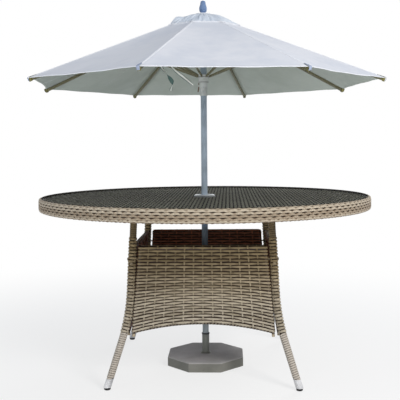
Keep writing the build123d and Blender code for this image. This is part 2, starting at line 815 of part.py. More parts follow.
for number, azimuth in enumerate(rib_azimuths, start=1):
    rib_plane = along_rib(azimuth, rib_angle_open)
    strut_origin = rib_plane.from_local_coords((strut_pivot_distance, 0, 0))
    fork_half = rib_plane.z_dir * (fork_width / 2)
    strut_pin = rod(strut_origin - fork_half, strut_origin + fork_half, hinge_pin_radius)
    tube_end = rib_length - rib_cap_length
    with BuildPart() as rib:
        with BuildSketch(rib_plane):
            Circle(rib_height / 2 - 1)
            Rectangle(rib_blade_length, rib_height - 2, align=(Align.MIN, Align.CENTER))
            Circle(hinge_pin_radius + hinge_clearance, mode=Mode.SUBTRACT)
        extrude(amount=rib_blade_width / 2, both=True)
        with BuildSketch(rib_plane):
            with Locations((rib_blade_length, 0)):
                Rectangle(tube_end - rib_blade_length, rib_height, align=(Align.MIN, Align.CENTER))
        extrude(amount=rib_width / 2, both=True)
        with BuildSketch(rib_plane):
            with Locations((rib_blade_length + 4, 0)):
                Rectangle(tube_end, rib_height - 2 * rib_wall, align=(Align.MIN, Align.CENTER))
        extrude(amount=rib_width / 2 - rib_wall, both=True, mode=Mode.SUBTRACT)
        add(strut_pin)
        with BuildSketch(rib_plane):
            with Locations((tube_end + rib_cap_gap, -1)):
                Rectangle(rib_cap_length, rib_cap_height, align=(Align.MIN, Align.CENTER))
        extrude(amount=rib_cap_width / 2, both=True)
    save(rib, f"rib_{number}")

    upright = upright_plane(azimuth)
    inwards = (upright.x_dir * -strut_reach + Vector(0, 0, -strut_rise)).normalized()
    strut_plane = Plane(strut_origin, x_dir=inwards, z_dir=upright.z_dir)
    with BuildPart() as strut:
        with BuildSketch(strut_plane):
            with Locations((fork_depth, 0)):
                Rectangle(
                    strut_length - fork_depth, strut_height, align=(Align.MIN, Align.CENTER)
                )
            with Locations((strut_length, 0)):
                Circle(strut_height / 2)
        extrude(amount=strut_width / 2, both=True)
        with BuildSketch(strut_plane):
            Circle(strut_height / 2)
            Rectangle(fork_length, strut_height, align=(Align.MIN, Align.CENTER))
        extrude(amount=fork_width / 2, both=True)
        with BuildSketch(strut_plane):
            with Locations((-strut_height, 0)):
                Rectangle(
                    strut_height + fork_depth, 2 * strut_height, align=(Align.MIN, Align.CENTER)
                )
        extrude(amount=rib_width / 2 + free_clearance, both=True, mode=Mode.SUBTRACT)
        with BuildSketch(strut_plane):
            Circle(hinge_pin_radius + hinge_clearance)
        extrude(amount=fork_width, both=True, mode=Mode.SUBTRACT)
    save(strut, f"strut_{number}")

    half_step = 180 / rib_count
    with BuildPart() as gore:
        add(canopy_shell.part)
        with BuildSketch(Plane.XY.offset(canopy_corner_z - 1)):
            with BuildLine():
                wedge = [
                    Vector(1.2 * canopy_corner_radius, 0).rotate(Axis.Z, azimuth + side * half_step)
                    for side in (-1, 1)
                ]
                Polyline((0, 0), wedge[0], wedge[1], close=True)
            make_face()
            offset(amount=-cloth_gap, kind=Kind.INTERSECTION)
            for side in (-1, 1):
                reach = Vector(hem_middle_radius + hem_arc_radius, 0)
                with Locations(reach.rotate(Axis.Z, azimuth + side * half_step)):
                    Circle(hem_arc_radius, mode=Mode.SUBTRACT)
        extrude(amount=canopy_corner_radius, mode=Mode.INTERSECT)
    save(gore, f"gore_{number}")

with BuildPart() as vent_cap:
    for drop, mode in ((0, Mode.ADD), (cloth_thickness, Mode.SUBTRACT)):
        with BuildSketch(Plane.XY.offset(vent_edge_z - drop)):
            RegularPolygon(radius=vent_radius, side_count=rib_count, rotation=first_rib_angle)
        with BuildSketch(Plane.XY.offset(vent_top_z - drop)):
            RegularPolygon(radius=vent_top_radius, side_count=rib_count, rotation=first_rib_angle)
        loft(mode=mode)
    with BuildSketch(Plane.XY.offset(vent_edge_z)):
        Circle(finial_stud_radius)
    extrude(amount=vent_radius, mode=Mode.SUBTRACT)
save(vent_cap, "vent_cap")

with BuildPart() as canopy_ties:
    for route in tie_routes:
        with BuildSketch(Plane((0, tie_depth_y, 0), x_dir=(1, 0, 0), z_dir=(0, -1, 0))):
            with BuildLine():
                Polyline(*route)
            trace(line_width=tie_thickness)
        extrude(amount=tie_width / 2, both=True)
save(canopy_ties, "canopy_ties")
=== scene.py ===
"""The looks of the umbrella table: woven cane, smoked glass, cloth, stone and metal on its frame.

Metres, +Z up, the front is towards -Y. Every piece rides on the CAD body that carries it.
"""

import math
from functools import partial

import bpy
import numpy as np
from mathutils import Matrix, Vector

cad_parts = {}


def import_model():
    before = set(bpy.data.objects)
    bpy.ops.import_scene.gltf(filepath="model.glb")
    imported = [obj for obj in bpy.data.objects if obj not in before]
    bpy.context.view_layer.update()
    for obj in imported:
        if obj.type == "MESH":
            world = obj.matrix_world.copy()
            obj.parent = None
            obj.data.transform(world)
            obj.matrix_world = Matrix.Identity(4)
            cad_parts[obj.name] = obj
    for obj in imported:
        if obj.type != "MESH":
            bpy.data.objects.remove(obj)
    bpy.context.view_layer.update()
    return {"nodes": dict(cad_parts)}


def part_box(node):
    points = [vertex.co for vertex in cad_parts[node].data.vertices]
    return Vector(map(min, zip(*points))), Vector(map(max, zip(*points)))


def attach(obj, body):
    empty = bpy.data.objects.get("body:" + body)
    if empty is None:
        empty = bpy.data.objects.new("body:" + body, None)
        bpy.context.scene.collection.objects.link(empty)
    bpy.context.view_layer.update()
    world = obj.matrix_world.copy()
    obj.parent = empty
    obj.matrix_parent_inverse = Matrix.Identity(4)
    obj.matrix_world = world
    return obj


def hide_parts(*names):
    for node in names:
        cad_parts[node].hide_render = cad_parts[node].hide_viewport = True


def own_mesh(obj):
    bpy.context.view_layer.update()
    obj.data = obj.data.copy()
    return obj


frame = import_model()
nodes = frame["nodes"]
along_x, along_y, upwards = np.eye(3)

# ---- Sizes that the looks share with the construction ----
glass_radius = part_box("glass_top")[1].x
deck_low, deck_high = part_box("deck_weave")
deck_middle_z = (deck_low.z + deck_high.z) / 2
rim_low, rim_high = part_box("rim_weave")
hoop_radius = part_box("top_hoop")[1].x
eyelet_tube_radius = 0.023

rib_count = 8
first_rib_angle = 30.3
rib_angle = math.radians(21.8)  # how far the ribs lie below the horizontal
rib_swing = math.radians(45.2)  # how far a rib comes down as the canopy closes
rib_pivot = (0.022, 1.51428)  # where a rib hinges: distance from the pole's axis, height
half_gore = math.radians(180 / rib_count)
gore_width = math.cos(half_gore) * math.sin(half_gore)  # half a gore's, at a radius of 1
corner_radius, corner_z = 0.768, 1.2245
rib_length = (corner_radius - rib_pivot[0]) / math.cos(rib_angle)
canopy_fall = math.tan(rib_angle)
canopy_hole_radius = 0.157
canopy_keep = 0.402  # how much of its width a piece of the canopy keeps when it is folded
cloth_thickness = 0.0012
hem_scallop, hem_width, hem_stitches = 0.020, 0.012, 0.0095
seam_half, seam_stitches = 0.0055, 0.0034
stitch_pitch = 0.0042
vent_keep = 0.64
vent_radius, vent_hole_radius = 0.167, 0.03
vent_peak_z = 1.5238
tie_y = -0.416  # the ties hang in front, from the sixth rib's piece

leg_line = [(0.275, 0.701), (0.2953, 0.2745), (0.379, 0.0)]  # offset along X and Y, height
leg_offset, leg_top_z = leg_line[0]
leg_bend_radius = 0.580
leg_woven_z = (0.207, 0.585)
ferrule_top_z = 0.042
leg_step = 0.002  # the spacing of the points along a leg
leg_plate_half, leg_plate_thickness = 0.035, 0.004

panel_top_z = 0.5565
panel_top_offset = 0.281
panel_lean = math.radians(3.4)
panel_top_half, panel_bottom_half = 0.2577, 0.2883
panel_drop = 0.356
panel_arch = 0.039
panel_corner = 0.012
panel_tube_drops = (0.015, 0.300)  # the level tubes inside a panel, down from its top edge
panel_tube_side = 0.009  # the upright tubes, in from the side edges
panel_tube_radius = 0.006
panel_base, panel_sway, panel_thick = 0.0047, 0.0013, 0.0024  # how its weave lies on a face
panel_edge = panel_base + 0.0016  # the weave turns back on this radius at the sides and the top
bolt_drops = (0.055, 0.285)
bolt_stagger = 0.016  # the side panels' bolts are lower, and pass the front ones in the leg

strand_pitch = 0.0128
stake_shift = 0.22  # a stake comes up before the strand that it covers and dives after it
rows_end = 6.3  # beyond this stake a strand stays level. On a panel it turns back there

random = np.random.default_rng(7)


# ---- Materials ----
def srgb(*levels):
    """A colour given as it looks on a screen, 0 to 255."""
    low = 10  # below this the curve is a straight line
    levels = (c / 3294.6 if c <= low else ((c / 255 + 0.055) / 1.055) ** 2.4 for c in levels)
    return (*levels, 1)


def toned(colour, *shares):
    """The colour with its red, green and blue scaled."""
    return (*(c * share for c, share in zip(colour, shares)), 1)


def add_node(tree, kind, inputs=(), **settings):
    """A node with its settings made and its inputs set or linked."""
    made = tree.nodes.new("ShaderNode" + kind)
    for setting, value in settings.items():
        setattr(made, setting, value)
    for socket, value in dict(inputs).items():
        if isinstance(value, bpy.types.NodeSocket):
            tree.links.new(value, made.inputs[socket])
        else:
            made.inputs[socket].default_value = value
    return made


class Finish:
    """A node material, with short calls for the nodes that the finishes are made of."""

    def __init__(self, name, colour, roughness, **sockets):
        self.material = bpy.data.materials.new(name)
        self.material.use_nodes = True
        self.tree = self.material.node_tree
        self.node = partial(add_node, self.tree)
        self.shader = self.tree.nodes["Principled BSDF"]
        self.shader.inputs["Base Color"].default_value = colour
        self.shader.inputs["Roughness"].default_value = roughness
        for socket, value in sockets.items():
            self.shader.inputs[socket.replace("_", " ")].default_value = value

    def math(self, operation, *values):
        return self.node("Math", enumerate(values), operation=operation).outputs[0]

    def scaled(self, value, factor, plus=0.0):
        """value times factor, plus a number or another value."""
        return self.math("MULTIPLY_ADD", value, factor, plus)

    def place(self):
        """The point on the object, which stays with the object when it moves."""
        return self.node("TexCoord").outputs["Object"]

    def part(self, vector, axis):
        return self.node("SeparateXYZ", {"Vector": vector}).outputs[axis]

    def height(self):
        return self.part(self.place(), 2)

    def radius(self):
        """How far a point is from the pole's axis."""
        x, y = (self.part(self.place(), axis) for axis in (0, 1))
        return self.math("SQRT", self.scaled(x, x, self.math("MULTIPLY", y, y)))

    def stretched(self, *scale):
        """The point on the object, scaled along each axis."""
        return self.node("Mapping", {"Vector": self.place(), "Scale": scale}).outputs[0]

    def noise(self, scale, detail=3.0, vector=None):
        inputs = {"Scale": scale, "Detail": detail, "Vector": vector or self.place()}
        return self.node("TexNoise", inputs).outputs["Fac"]

    def attribute(self, name):
        return self.node("Attribute", attribute_name=name).outputs["Fac"]

    def ramp(self, value, low, high):
        """Smoothly from 0 at low to 1 at high."""
        inputs = {"Value": value, "From Min": low, "From Max": high}
        return self.node("MapRange", inputs, interpolation_type="SMOOTHSTEP").outputs[0]

    def mix(self, share, first, second):
        """One colour into another."""
        return self.node("Mix", {0: share, 6: first, 7: second}, data_type="RGBA").outputs[2]

    def connect(self, socket, value):
        self.tree.links.new(value, self.shader.inputs[socket])

    def cover(self, share, colour):
        """Lays a colour over what is there, where share is 1."""
        base = self.shader.inputs["Base Color"]
        under = base.links[0].from_socket if base.is_linked else tuple(base.default_value)
        self.connect("Base Color", self.mix(share, under, colour))

    def bump(self, height, distance, strength):
        """Adds relief, in metres, over any that is there."""
        inputs = {"Height": height, "Distance": distance, "Strength": strength}
        under = self.shader.inputs["Normal"]
        if under.is_linked:
            inputs["Normal"] = under.links[0].from_socket
        self.connect("Normal", self.node("Bump", inputs).outputs[0])


def cane(name, light, dark, painted_shade_colour, grooves=17.0, low=None):
    """Flat synthetic cane. Strands differ in tone at random, and are painted darker where they dip
    and on their inner faces: painted shade.

    low is a second light and dark colour, paler, for the part below: painted light, while the
    darker cane above stands for the shade under the table's top.
    """
    finish = Finish(name, light, 0.5, Specular_IOR_Level=0.3)
    mottle = finish.noise(48, 2)
    streaks = finish.noise(900, 2, finish.stretched(1, 1, 0.35))
    tone = finish.scaled(finish.attribute("shade"), 0.5, finish.scaled(mottle, 0.5))
    dusk = finish.ramp(finish.scaled(streaks, 0.3, tone), 1.0, 0.35)
    finish.cover(dusk, dark)
    if low:
        # paler lower down: painted light; the darker top stands for the table top's shade
        finish.cover(finish.ramp(finish.height(), 0.56, 0.22), finish.mix(dusk, *low))
    # painted shade where the lift mark is low: in dips and on inner faces
    finish.cover(finish.ramp(finish.attribute("lift"), 0.42, -0.05), painted_shade_colour)
    ridges = finish.math("SINE", finish.scaled(finish.attribute("across"), grooves))
    finish.bump(ridges, 0.00015, 0.7)
    finish.bump(streaks, 0.0002, 0.5)
    finish.connect("Roughness", finish.scaled(mottle, 0.18, 0.4))
    return finish.material


def metal(name, colour, roughness, grain=(1, 1, 1), spread=0.12, metallic=1.0, painted_shade_span=None):
    """Metal with a fine grain, stretched along the way it was drawn or brushed.

    The last argument is the lowest and highest point of a stretch that is painted darker and
    bluer: painted shade.
    """
    finish = Finish(name, colour, roughness, Metallic=metallic)
    finish.cover(finish.ramp(finish.noise(14, 3), 0.35, 0.75), toned(colour, 0.72, 0.72, 0.72))
    # a stretch painted darker and bluer: painted shade
    if painted_shade_span:
        (low, high), z = painted_shade_span, finish.height()
        above, below = finish.ramp(z, low - 0.09, low), finish.ramp(z, high, high - 0.03)
        finish.cover(finish.math("MULTIPLY", above, below), toned(colour, 0.46, 0.52, 0.60))
    fine = finish.noise(420, 3, finish.stretched(*grain))
    finish.connect("Roughness", finish.scaled(fine, spread, roughness - spread / 2))
    finish.bump(fine, 0.00003, 0.6)
    return finish.material


def plastic(name, colour, roughness, grain=600.0, relief=0.00005):
    """Moulded plastic or rubber with a fine spark-eroded surface."""
    finish = Finish(name, colour, roughness)
    broad = finish.noise(30, 3)
    lighter = (*(c * 1.35 + 0.004 for c in colour[:3]), 1)
    finish.cover(finish.ramp(broad, 0.3, 0.8), lighter)
    finish.connect("Roughness", finish.scaled(broad, 0.2, roughness - 0.1))
    finish.bump(finish.noise(grain, 2), relief, 0.7)
    return finish.material


def cloth(name, colour, shaded, thread=1500.0, back=None, edged=False):
    """Plain-woven cloth with soft stains. back is the colour of a strip's other face, and of its
    edges where edged. On the ties both are painted shade; on the corner tabs the other face is
    olive webbing.
    """
    finish = Finish(name, colour, 0.85, Sheen_Weight=0.02, Specular_IOR_Level=0.08)
    cloudy = finish.noise(22, 3)
    stain = finish.scaled(finish.noise(3.5, 4), 0.7, finish.scaled(cloudy, 0.3))
    finish.cover(finish.ramp(stain, 0.38, 0.68), shaded)
    # the strip's other face, where lift is low: on the ties it is painted shade
    if back:
        finish.cover(finish.ramp(finish.attribute("lift"), 0.34, 0.22), back)
    # dark edges: painted shadow along the tie's edges
    if edged:
        side = finish.math("ABSOLUTE", finish.attribute("across"))
        finish.cover(finish.ramp(side, 0.5, 0.75), back)
    # a row of stitches, where the mesh says how far it is from one (off) and how far along (run)
    step = finish.math("FRACT", finish.scaled(finish.attribute("run"), 1 / stitch_pitch))
    step = finish.math("ABSOLUTE", finish.math("SUBTRACT", step, 0.5))
    row = finish.ramp(finish.math("ABSOLUTE", finish.attribute("off")), 0.0007, 0.0003)
    stitch = finish.math("MULTIPLY", row, finish.ramp(step, 0.38, 0.28))
    finish.cover(finish.scaled(stitch, 0.55), toned(colour, 0.55, 0.55, 0.55))
    finish.bump(finish.noise(thread, 1), 0.00008, 0.5)
    finish.bump(cloudy, 0.0012, 0.35)
    finish.bump(stitch, 0.0005, 0.8)
    return finish.material


def smoked_glass():
    """Smoked glass that the deck shows through, with a dark ground edge."""
    coat = {"Specular_IOR_Level": 0.0, "Coat_Weight": 0.06, "Coat_Roughness": 0.05}
    finish = Finish("smoked-glass", srgb(36, 40, 38), 0.06, **coat)
    edge = finish.ramp(finish.radius(), glass_radius - 0.008, glass_radius - 0.005)
    clear = finish.scaled(finish.noise(9, 4), 0.06, 0.30)
    finish.connect("Alpha", finish.math("MAXIMUM", clear, finish.scaled(edge, 0.97)))
    finish.cover(edge, srgb(12, 14, 15))
    return finish.material


def clear_pad():
    """Clear rubber, nearly unseen between the deck and the glass."""
    finish = Finish("clear-pad", srgb(120, 122, 116), 0.35)
    finish.connect("Alpha", finish.scaled(finish.noise(200, 2), 0.1, 0.25))
    return finish.material


def stone():
    """Cast stone resin: grey with fine speckles and shallow pits. Upward faces are painted paler:
    painted light.
    """
    finish = Finish("cast-stone", srgb(124, 123, 117), 0.8, Specular_IOR_Level=0.25)
    speckle = finish.noise(260, 2)
    cloud = finish.ramp(finish.noise(11, 4), 0.3, 0.75)
    facing = finish.part(finish.node("TexCoord").outputs["Normal"], 2)
    finish.cover(cloud, srgb(108, 108, 102))
    # upward faces get a paler colour: painted light
    top = finish.mix(cloud, srgb(184, 182, 183), srgb(164, 162, 161))
    finish.cover(finish.ramp(facing, 0.45, 0.9), top)
    finish.cover(finish.ramp(speckle, 0.62, 0.78), srgb(92, 90, 87))
    finish.bump(finish.noise(150, 4), 0.0005, 0.35)
    finish.bump(speckle, 0.0003, 0.4)
    return finish.material


def painted_rib():
    """Olive powder coat on the ribs, with a bronze plastic cap at the tip."""
    finish = Finish("rib-paint", srgb(116, 112, 86), 0.42)
    cap = finish.ramp(finish.radius(), corner_radius - 0.0145, corner_radius - 0.0140)
    finish.cover(finish.ramp(finish.noise(120, 4), 0.5, 0.75), srgb(140, 136, 110))
    finish.cover(cap, srgb(112, 107, 62))
    finish.bump(finish.noise(700, 2), 0.00006, 0.6)
    return finish.material


def frame_paint():
    """Brown powder coat. The tubes' capped ends under the panels are cane-coloured."""
    finish = Finish("frame-paint", srgb(58, 45, 36), 0.45)
    speckle = finish.noise(300, 3)
    finish.cover(finish.ramp(speckle, 0.45, 0.8), srgb(84, 68, 55))
    finish.cover(finish.ramp(finish.height(), 0.2035, 0.2025), srgb(172, 158, 134))
    finish.bump(speckle, 0.0001, 0.6)
    return finish.material


def runner_plastic():
    """Pale moulded plastic, with the dark joints between its collar, ring and sleeve."""
    finish = Finish("runner-plastic", srgb(206, 208, 206), 0.42)
    finish.cover(finish.ramp(finish.noise(40, 3), 0.35, 0.75), srgb(180, 184, 180))
    for z, half in ((1.2535, 0.0016), (1.2315, 0.0014)):
        gap = finish.math("ABSOLUTE", finish.math("SUBTRACT", finish.height(), z))
        finish.cover(finish.ramp(gap, half, half * 0.6), srgb(70, 72, 66))
    finish.bump(finish.noise(500, 2), 0.00005, 0.6)
    return finish.material


rim_finish = cane("rim-cane", srgb(182, 170, 151), srgb(140, 125, 106), srgb(98, 71, 48))
body_finish = cane(
    "body-cane", srgb(147, 129, 96), srgb(112, 95, 66), srgb(44, 30, 20),
    low=(srgb(178, 168, 151), srgb(142, 132, 114)),
)
wrap_finish = cane(
    "leg-wrap", srgb(132, 115, 85), srgb(102, 87, 62), srgb(40, 30, 20),
    low=(srgb(190, 181, 170), srgb(156, 147, 135)),
)
# the panels' inner weave: a darker, redder copy of the cane, painted shade
shaded_inside_finish = cane("shaded-inside-cane", srgb(136, 80, 52), srgb(98, 57, 38), srgb(36, 21, 14))
deck_finish = cane("deck-cane", srgb(204, 203, 176), srgb(170, 169, 142), srgb(20, 16, 12), 9.0)
stake_finish = cane("deck-stake", srgb(204, 190, 172), srgb(172, 160, 146), srgb(22, 18, 14), 26.0)
# dark sheets in the deck and the panels: painted shade, seen through the weave's gaps
deck_shade_sheet = plastic("deck-shade-sheet", srgb(14, 11, 9), 0.8, 300.0)
panel_shade_sheet = plastic("panel-shade-sheet", srgb(44, 31, 21), 0.8, 300.0)

cloth_top = cloth("canopy-cloth", srgb(230, 232, 238), srgb(218, 222, 231))
# the cloth's underside, darker and greener than its top: painted shade
shaded_underside_cloth = cloth("canopy-underside", srgb(204, 211, 202), srgb(192, 200, 190))
vent_cloth = cloth("vent-cloth", srgb(222, 228, 236), srgb(198, 208, 221))
seam_cloth = cloth("canopy-seam", srgb(238, 240, 245), srgb(228, 231, 238), thread=2200.0)
strip_cloth = partial(cloth, thread=2600.0)
# the ties' dark teal back and edges are painted shade
tie_cloth = strip_cloth(
    "tie-webbing", srgb(250, 250, 244), srgb(232, 234, 226), back=srgb(84, 106, 101), edged=True
)
# the tab's blue-grey outer face is painted shade, darker than the canopy's cloth; its back is olive
# webbing
shaded_tab_cloth = strip_cloth(
    "corner-tab", srgb(166, 176, 196), srgb(150, 160, 182), back=srgb(112, 112, 74)
)

paint, bolt_paint = frame_paint(), plastic("bolt-paint", srgb(112, 99, 78), 0.5)
black_plastic = plastic("black-plastic", srgb(28, 28, 30), 0.5)
# the poles are painted darker from about 0.4 m to 0.725 m: painted shade under the table's top
pole_metal = partial(
    metal, roughness=0.36, grain=(1, 1, 0.04), metallic=0.5, painted_shade_span=(0.48, 0.725)
)
node_finish = {
    **dict.fromkeys([name for name in nodes if name.startswith(("rib_", "strut_"))], painted_rib()),
    **dict.fromkeys(["top_hoop", "deck_rails", "frame_plates", "skirt_frames"], paint),
    **dict.fromkeys(["eyelet_nut", "foot_glides", "stem_bush", "clamp_screw"], black_plastic),
    "glass_top": smoked_glass(),
    "glass_pads": clear_pad(),
    "eyelet": metal("eyelet-metal", srgb(232, 234, 240), 0.34, (1, 1, 8), metallic=0.6),
    "leg_ferrules": metal("ferrule-steel", srgb(222, 222, 224), 0.3, (1, 1, 0.06), 0.1, 0.7),
    "base_weight": stone(),
    "base_pads": plastic("base-rubber", srgb(30, 30, 30), 0.8, 250.0, 0.0002),
    "base_stem": metal("stem-steel", srgb(128, 130, 124), 0.38, (1, 1, 0.05), metallic=0.45),
    "lower_pole": pole_metal("pole-lower", srgb(158, 166, 170)),
    "upper_pole": pole_metal("pole-upper", srgb(166, 180, 194)),
    "pole_joiner": metal("joiner-steel", srgb(160, 160, 160), 0.3),
    "crown": plastic("crown-plastic", srgb(214, 217, 219), 0.4),
    "crown_pins": metal("pin-steel", srgb(150, 147, 142), 0.3),
    # the finial's blue is painted reflection, of a blue sky in its chrome
    "finial": metal("finial-chrome", srgb(112, 138, 178), 0.16, spread=0.05, metallic=0.3),
    "runner": runner_plastic(),
    "runner_catch": plastic("catch-plastic", srgb(92, 66, 44), 0.4),
}
for name, material in node_finish.items():
    nodes[name].data.materials.clear()
    nodes[name].data.materials.append(material)


# ---- Meshes ----
def unit(vectors):
    return vectors / np.linalg.norm(vectors, axis=-1, keepdims=True)


def facing_up(vectors):
    """Vectors with the sign that points the first of them upwards."""
    return vectors * np.sign(vectors.reshape(-1, 3)[0, 2])


def smooth(value):
    value = np.clip(value, 0, 1)
    return value * value * (3 - 2 * value)


def swung(angle, first, second):
    """The way at an angle from the first towards the second, or one for each angle."""
    angle = np.asarray(angle)[..., None]
    return np.cos(angle) * first + np.sin(angle) * second


def full_turn(count):
    return np.linspace(0, 2 * math.pi, count, endpoint=False)


def lengths_along(line):
    """How far along a line each of its points is."""
    return np.concatenate([[0], np.cumsum(np.linalg.norm(np.diff(line, axis=0), axis=1))])


def points_at(spots, known, line):
    """Points at some spots of a line, between the known ones."""
    return np.stack([np.interp(spots, known, values) for values in line.T], axis=-1)


def ring_faces(count, pairs, start=0):
    """Quads between rings that have count points each. pairs says which rings they join."""
    faces = []
    for a, b in pairs:
        for i in range(count):
            corners = (a, i), (a, i + 1), (b, i + 1), (b, i)
            faces.append(tuple(start + ring * count + spot % count for ring, spot in corners))
    return faces


def capped_rings(count, rings, start=0):
    """The faces of a stack of rings that is closed at both ends.

    They look outwards where the rings run anticlockwise, seen from the last one's end.
    """
    last = (rings - 1) * count
    ends = [range(start, start + count)[::-1], range(start + last, start + last + count)]
    return ring_faces(count, [(ring, ring + 1) for ring in range(rings - 1)], start) + ends


def add_object(name, data):
    made = bpy.data.objects.new(name, data)
    bpy.context.scene.collection.objects.link(made)
    return made


def make_object(name, points, faces, materials, sharp=None):
    """A smooth mesh object in the row frame."""
    mesh = bpy.data.meshes.new(name)
    mesh.from_pydata(np.asarray(points, float).tolist(), [], faces)
    for material in materials:
        mesh.materials.append(material)
    mesh.polygons.foreach_set("use_smooth", [True] * len(mesh.polygons))
    if sharp is not None:
        mesh.set_sharp_from_angle(angle=math.radians(sharp))
    return add_object(name, mesh)


def note_marks(made, marks):
    """Writes a number per point, under a name that a finish reads."""
    for mark, values in marks.items():
        attribute = made.data.attributes.new(mark, "FLOAT", "POINT")
        attribute.data.foreach_set("value", np.asarray(values, np.float32))


def turned(name, profile, turn, material, sharp, ripple=1.0):
    """A closed profile of (radius, height), turned round the pole's axis."""
    flat = swung(turn, along_x, along_y) * ripple
    points = [radius * spot + z * upwards for radius, z in profile for spot in flat]
    pairs = [(ring, (ring + 1) % len(profile)) for ring in range(len(profile))]
    return make_object(name, points, ring_faces(len(turn), pairs), [material], sharp)


def carry(pieces, body="table"):
    """Sets the pieces on a body."""
    for piece in pieces:
        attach(piece, body)


class Strands:
    """Flat strands of cane, gathered into one mesh.

    Each strand has a tone of its own, and each point knows whether it lies on or in the weave
    (lift, -1 to 1) and where it is across the strand (across, -1 to 1). The finishes paint shade
    where lift is low.
    """

    def __init__(self):
        self.points, self.faces, self.count = [], [], 0
        self.marks = {"shade": [], "lift": [], "across": []}

    def add(self, path, side, up, width, thickness, wave=0.5, closed=False, sections=8):
        """One strand along a path. side and up are the ways across it and out of the weave.

        wave says how the strand passes the others, from -1, under, to 1, over.
        """
        length = len(path)
        turn = full_turn(sections)
        across = np.sign(np.cos(turn)) * np.abs(np.cos(turn)) ** 0.7
        out = np.sign(np.sin(turn)) * np.abs(np.sin(turn)) ** 0.8
        ring = path[:, None, :]
        for share, size, way in ((across, width, side), (out, thickness, up)):
            half = np.broadcast_to(size, length)[:, None, None] / 2
            ring = ring + share[:, None] * half * np.broadcast_to(way, (length, 3))[:, None, :]
        self.points.append(ring.reshape(-1, 3))
        rings = length if closed else length - 1
        start = np.arange(rings)[:, None] * sections
        after = (np.arange(1, rings + 1) % length)[:, None] * sections
        here, beside = np.arange(sections), (np.arange(sections) + 1) % sections
        quads = np.stack([start + here, after + here, after + beside, start + beside], axis=-1)
        ends = np.array([here, (length - 1) * sections + here[::-1]])
        across_way, out_way = (np.broadcast_to(way, (length, 3))[0] for way in (side, up))
        if np.cross(path[1] - path[0], out_way) @ across_way < 0:  # keeps the faces outwards
            quads, ends = quads[..., [0, 3, 2, 1]], ends[:, ::-1]
        self.faces += (quads.reshape(-1, 4) + self.count).tolist()
        if not closed:
            self.faces += (ends + self.count).tolist()
        # lift is low where the strand dips and on its inner face; the cane paints shade there
        lift = 0.6 * np.broadcast_to(wave, length)[:, None] + 0.4 * np.sin(turn)
        self.marks["shade"].append(np.full(length * sections, random.random()))
        self.marks["lift"].append(lift.ravel())
        self.marks["across"].append(np.tile(across, length))
        self.count += length * sections

    def finish(self, name, material):
        made = make_object(name, np.concatenate(self.points), self.faces, [material])
        note_marks(made, {mark: np.concatenate(values) for mark, values in self.marks.items()})
        return made


# ---- Rim ----
def rim_band():
    """The band round the hoop: rings of cane that meet and part again from stake to stake."""
    strands = Strands()
    pitch, wave_count, width, thick = 0.0103, 124, 0.0087, 0.0036
    outer, inner = rim_high.x - 0.0022, hoop_radius - 0.0062
    top, bottom = rim_high.z, rim_low.z
    rows = [  # radius, height, tilt
        (outer - 0.0062, top - 0.0012, 72),
        (outer - 0.0009, top - 0.0066, 12),
        *((outer, top - 0.0066 - pitch * row, 0) for row in range(1, 4)),
        (outer - 0.0012, bottom + 0.0062, -14),
        (outer - 0.0068, bottom + 0.0014, -72),
        (outer - 0.0148, bottom + 0.0020, -100),
        *((inner, bottom + 0.0075 + pitch * row, 180) for row in range(2)),
    ]
    angle = full_turn(wave_count * 10)
    outwards = swung(angle, along_x, along_y)
    drift = 0.5 * np.sin(3 * angle) + 0.35 * np.sin(11 * angle)
    for row, (radius, z, tilt) in enumerate(rows):
        wobble = 0.25 * np.sin(17 * angle + 1.7 * row) + 0.15 * np.sin(29 * angle + 2.9 * row)
        turn = wave_count * angle + math.pi * row + drift
        wave = np.cos(turn + wobble)
        swing = 0.0012 * np.cos(turn) + 0.0004 * np.sin(2 * turn)
        bulge = 0.0007 * np.cos(2 * turn)
        lean = math.radians(tilt)
        up, side = swung(lean, outwards, upwards), swung(lean, upwards, -outwards)
        path = outwards * radius + upwards * z + up * bulge[:, None] + side * swing[:, None]
        # the lift mark darkens the cane where it dips: painted shade
        lift = 0.2 + 0.4 * wave
        strands.add(path, side, up, width + 0.0003 * wave, thick, lift, closed=True, sections=10)
    made = strands.finish("rim-band", rim_finish)
    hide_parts("rim_weave")
    carry([made])


# ---- Plain weave ----
def plain_weave(strands, bars, place, rows, stakes, base, sway, thick, dip=0.3):
    """Strands over and under stakes. place turns (along, across, out) into points and directions.

    rows and stakes are lists of (number, at, along, across, width). at says for each point of a row
    how far it is among the stakes, or of a stake among the rows, whole at each crossing. dip says
    how much darker a row is painted where it passes under a stake: painted shade.
    """
    for number, at, along, across, width in rows:
        loose = smooth((np.abs(at) - rows_end) / 0.7)
        wave = np.cos(math.pi * (at + number)) * (1 - loose) + 0.4 * loose
        path, side, up = place(along, across, base + sway * wave)
        strands.add(path, side, up, width * (1 + 0.05 * wave), thick, dip * wave)
    for number, at, along, across, width in stakes:
        wave = -np.cos(math.pi * (at + number + stake_shift))
        path, _, up = place(along, across, base + sway * 1.15 * wave)
        side = unit(np.cross(unit(np.gradient(path, axis=0)), up))
        bars.add(path, side, up, width, thick * 0.9, wave)


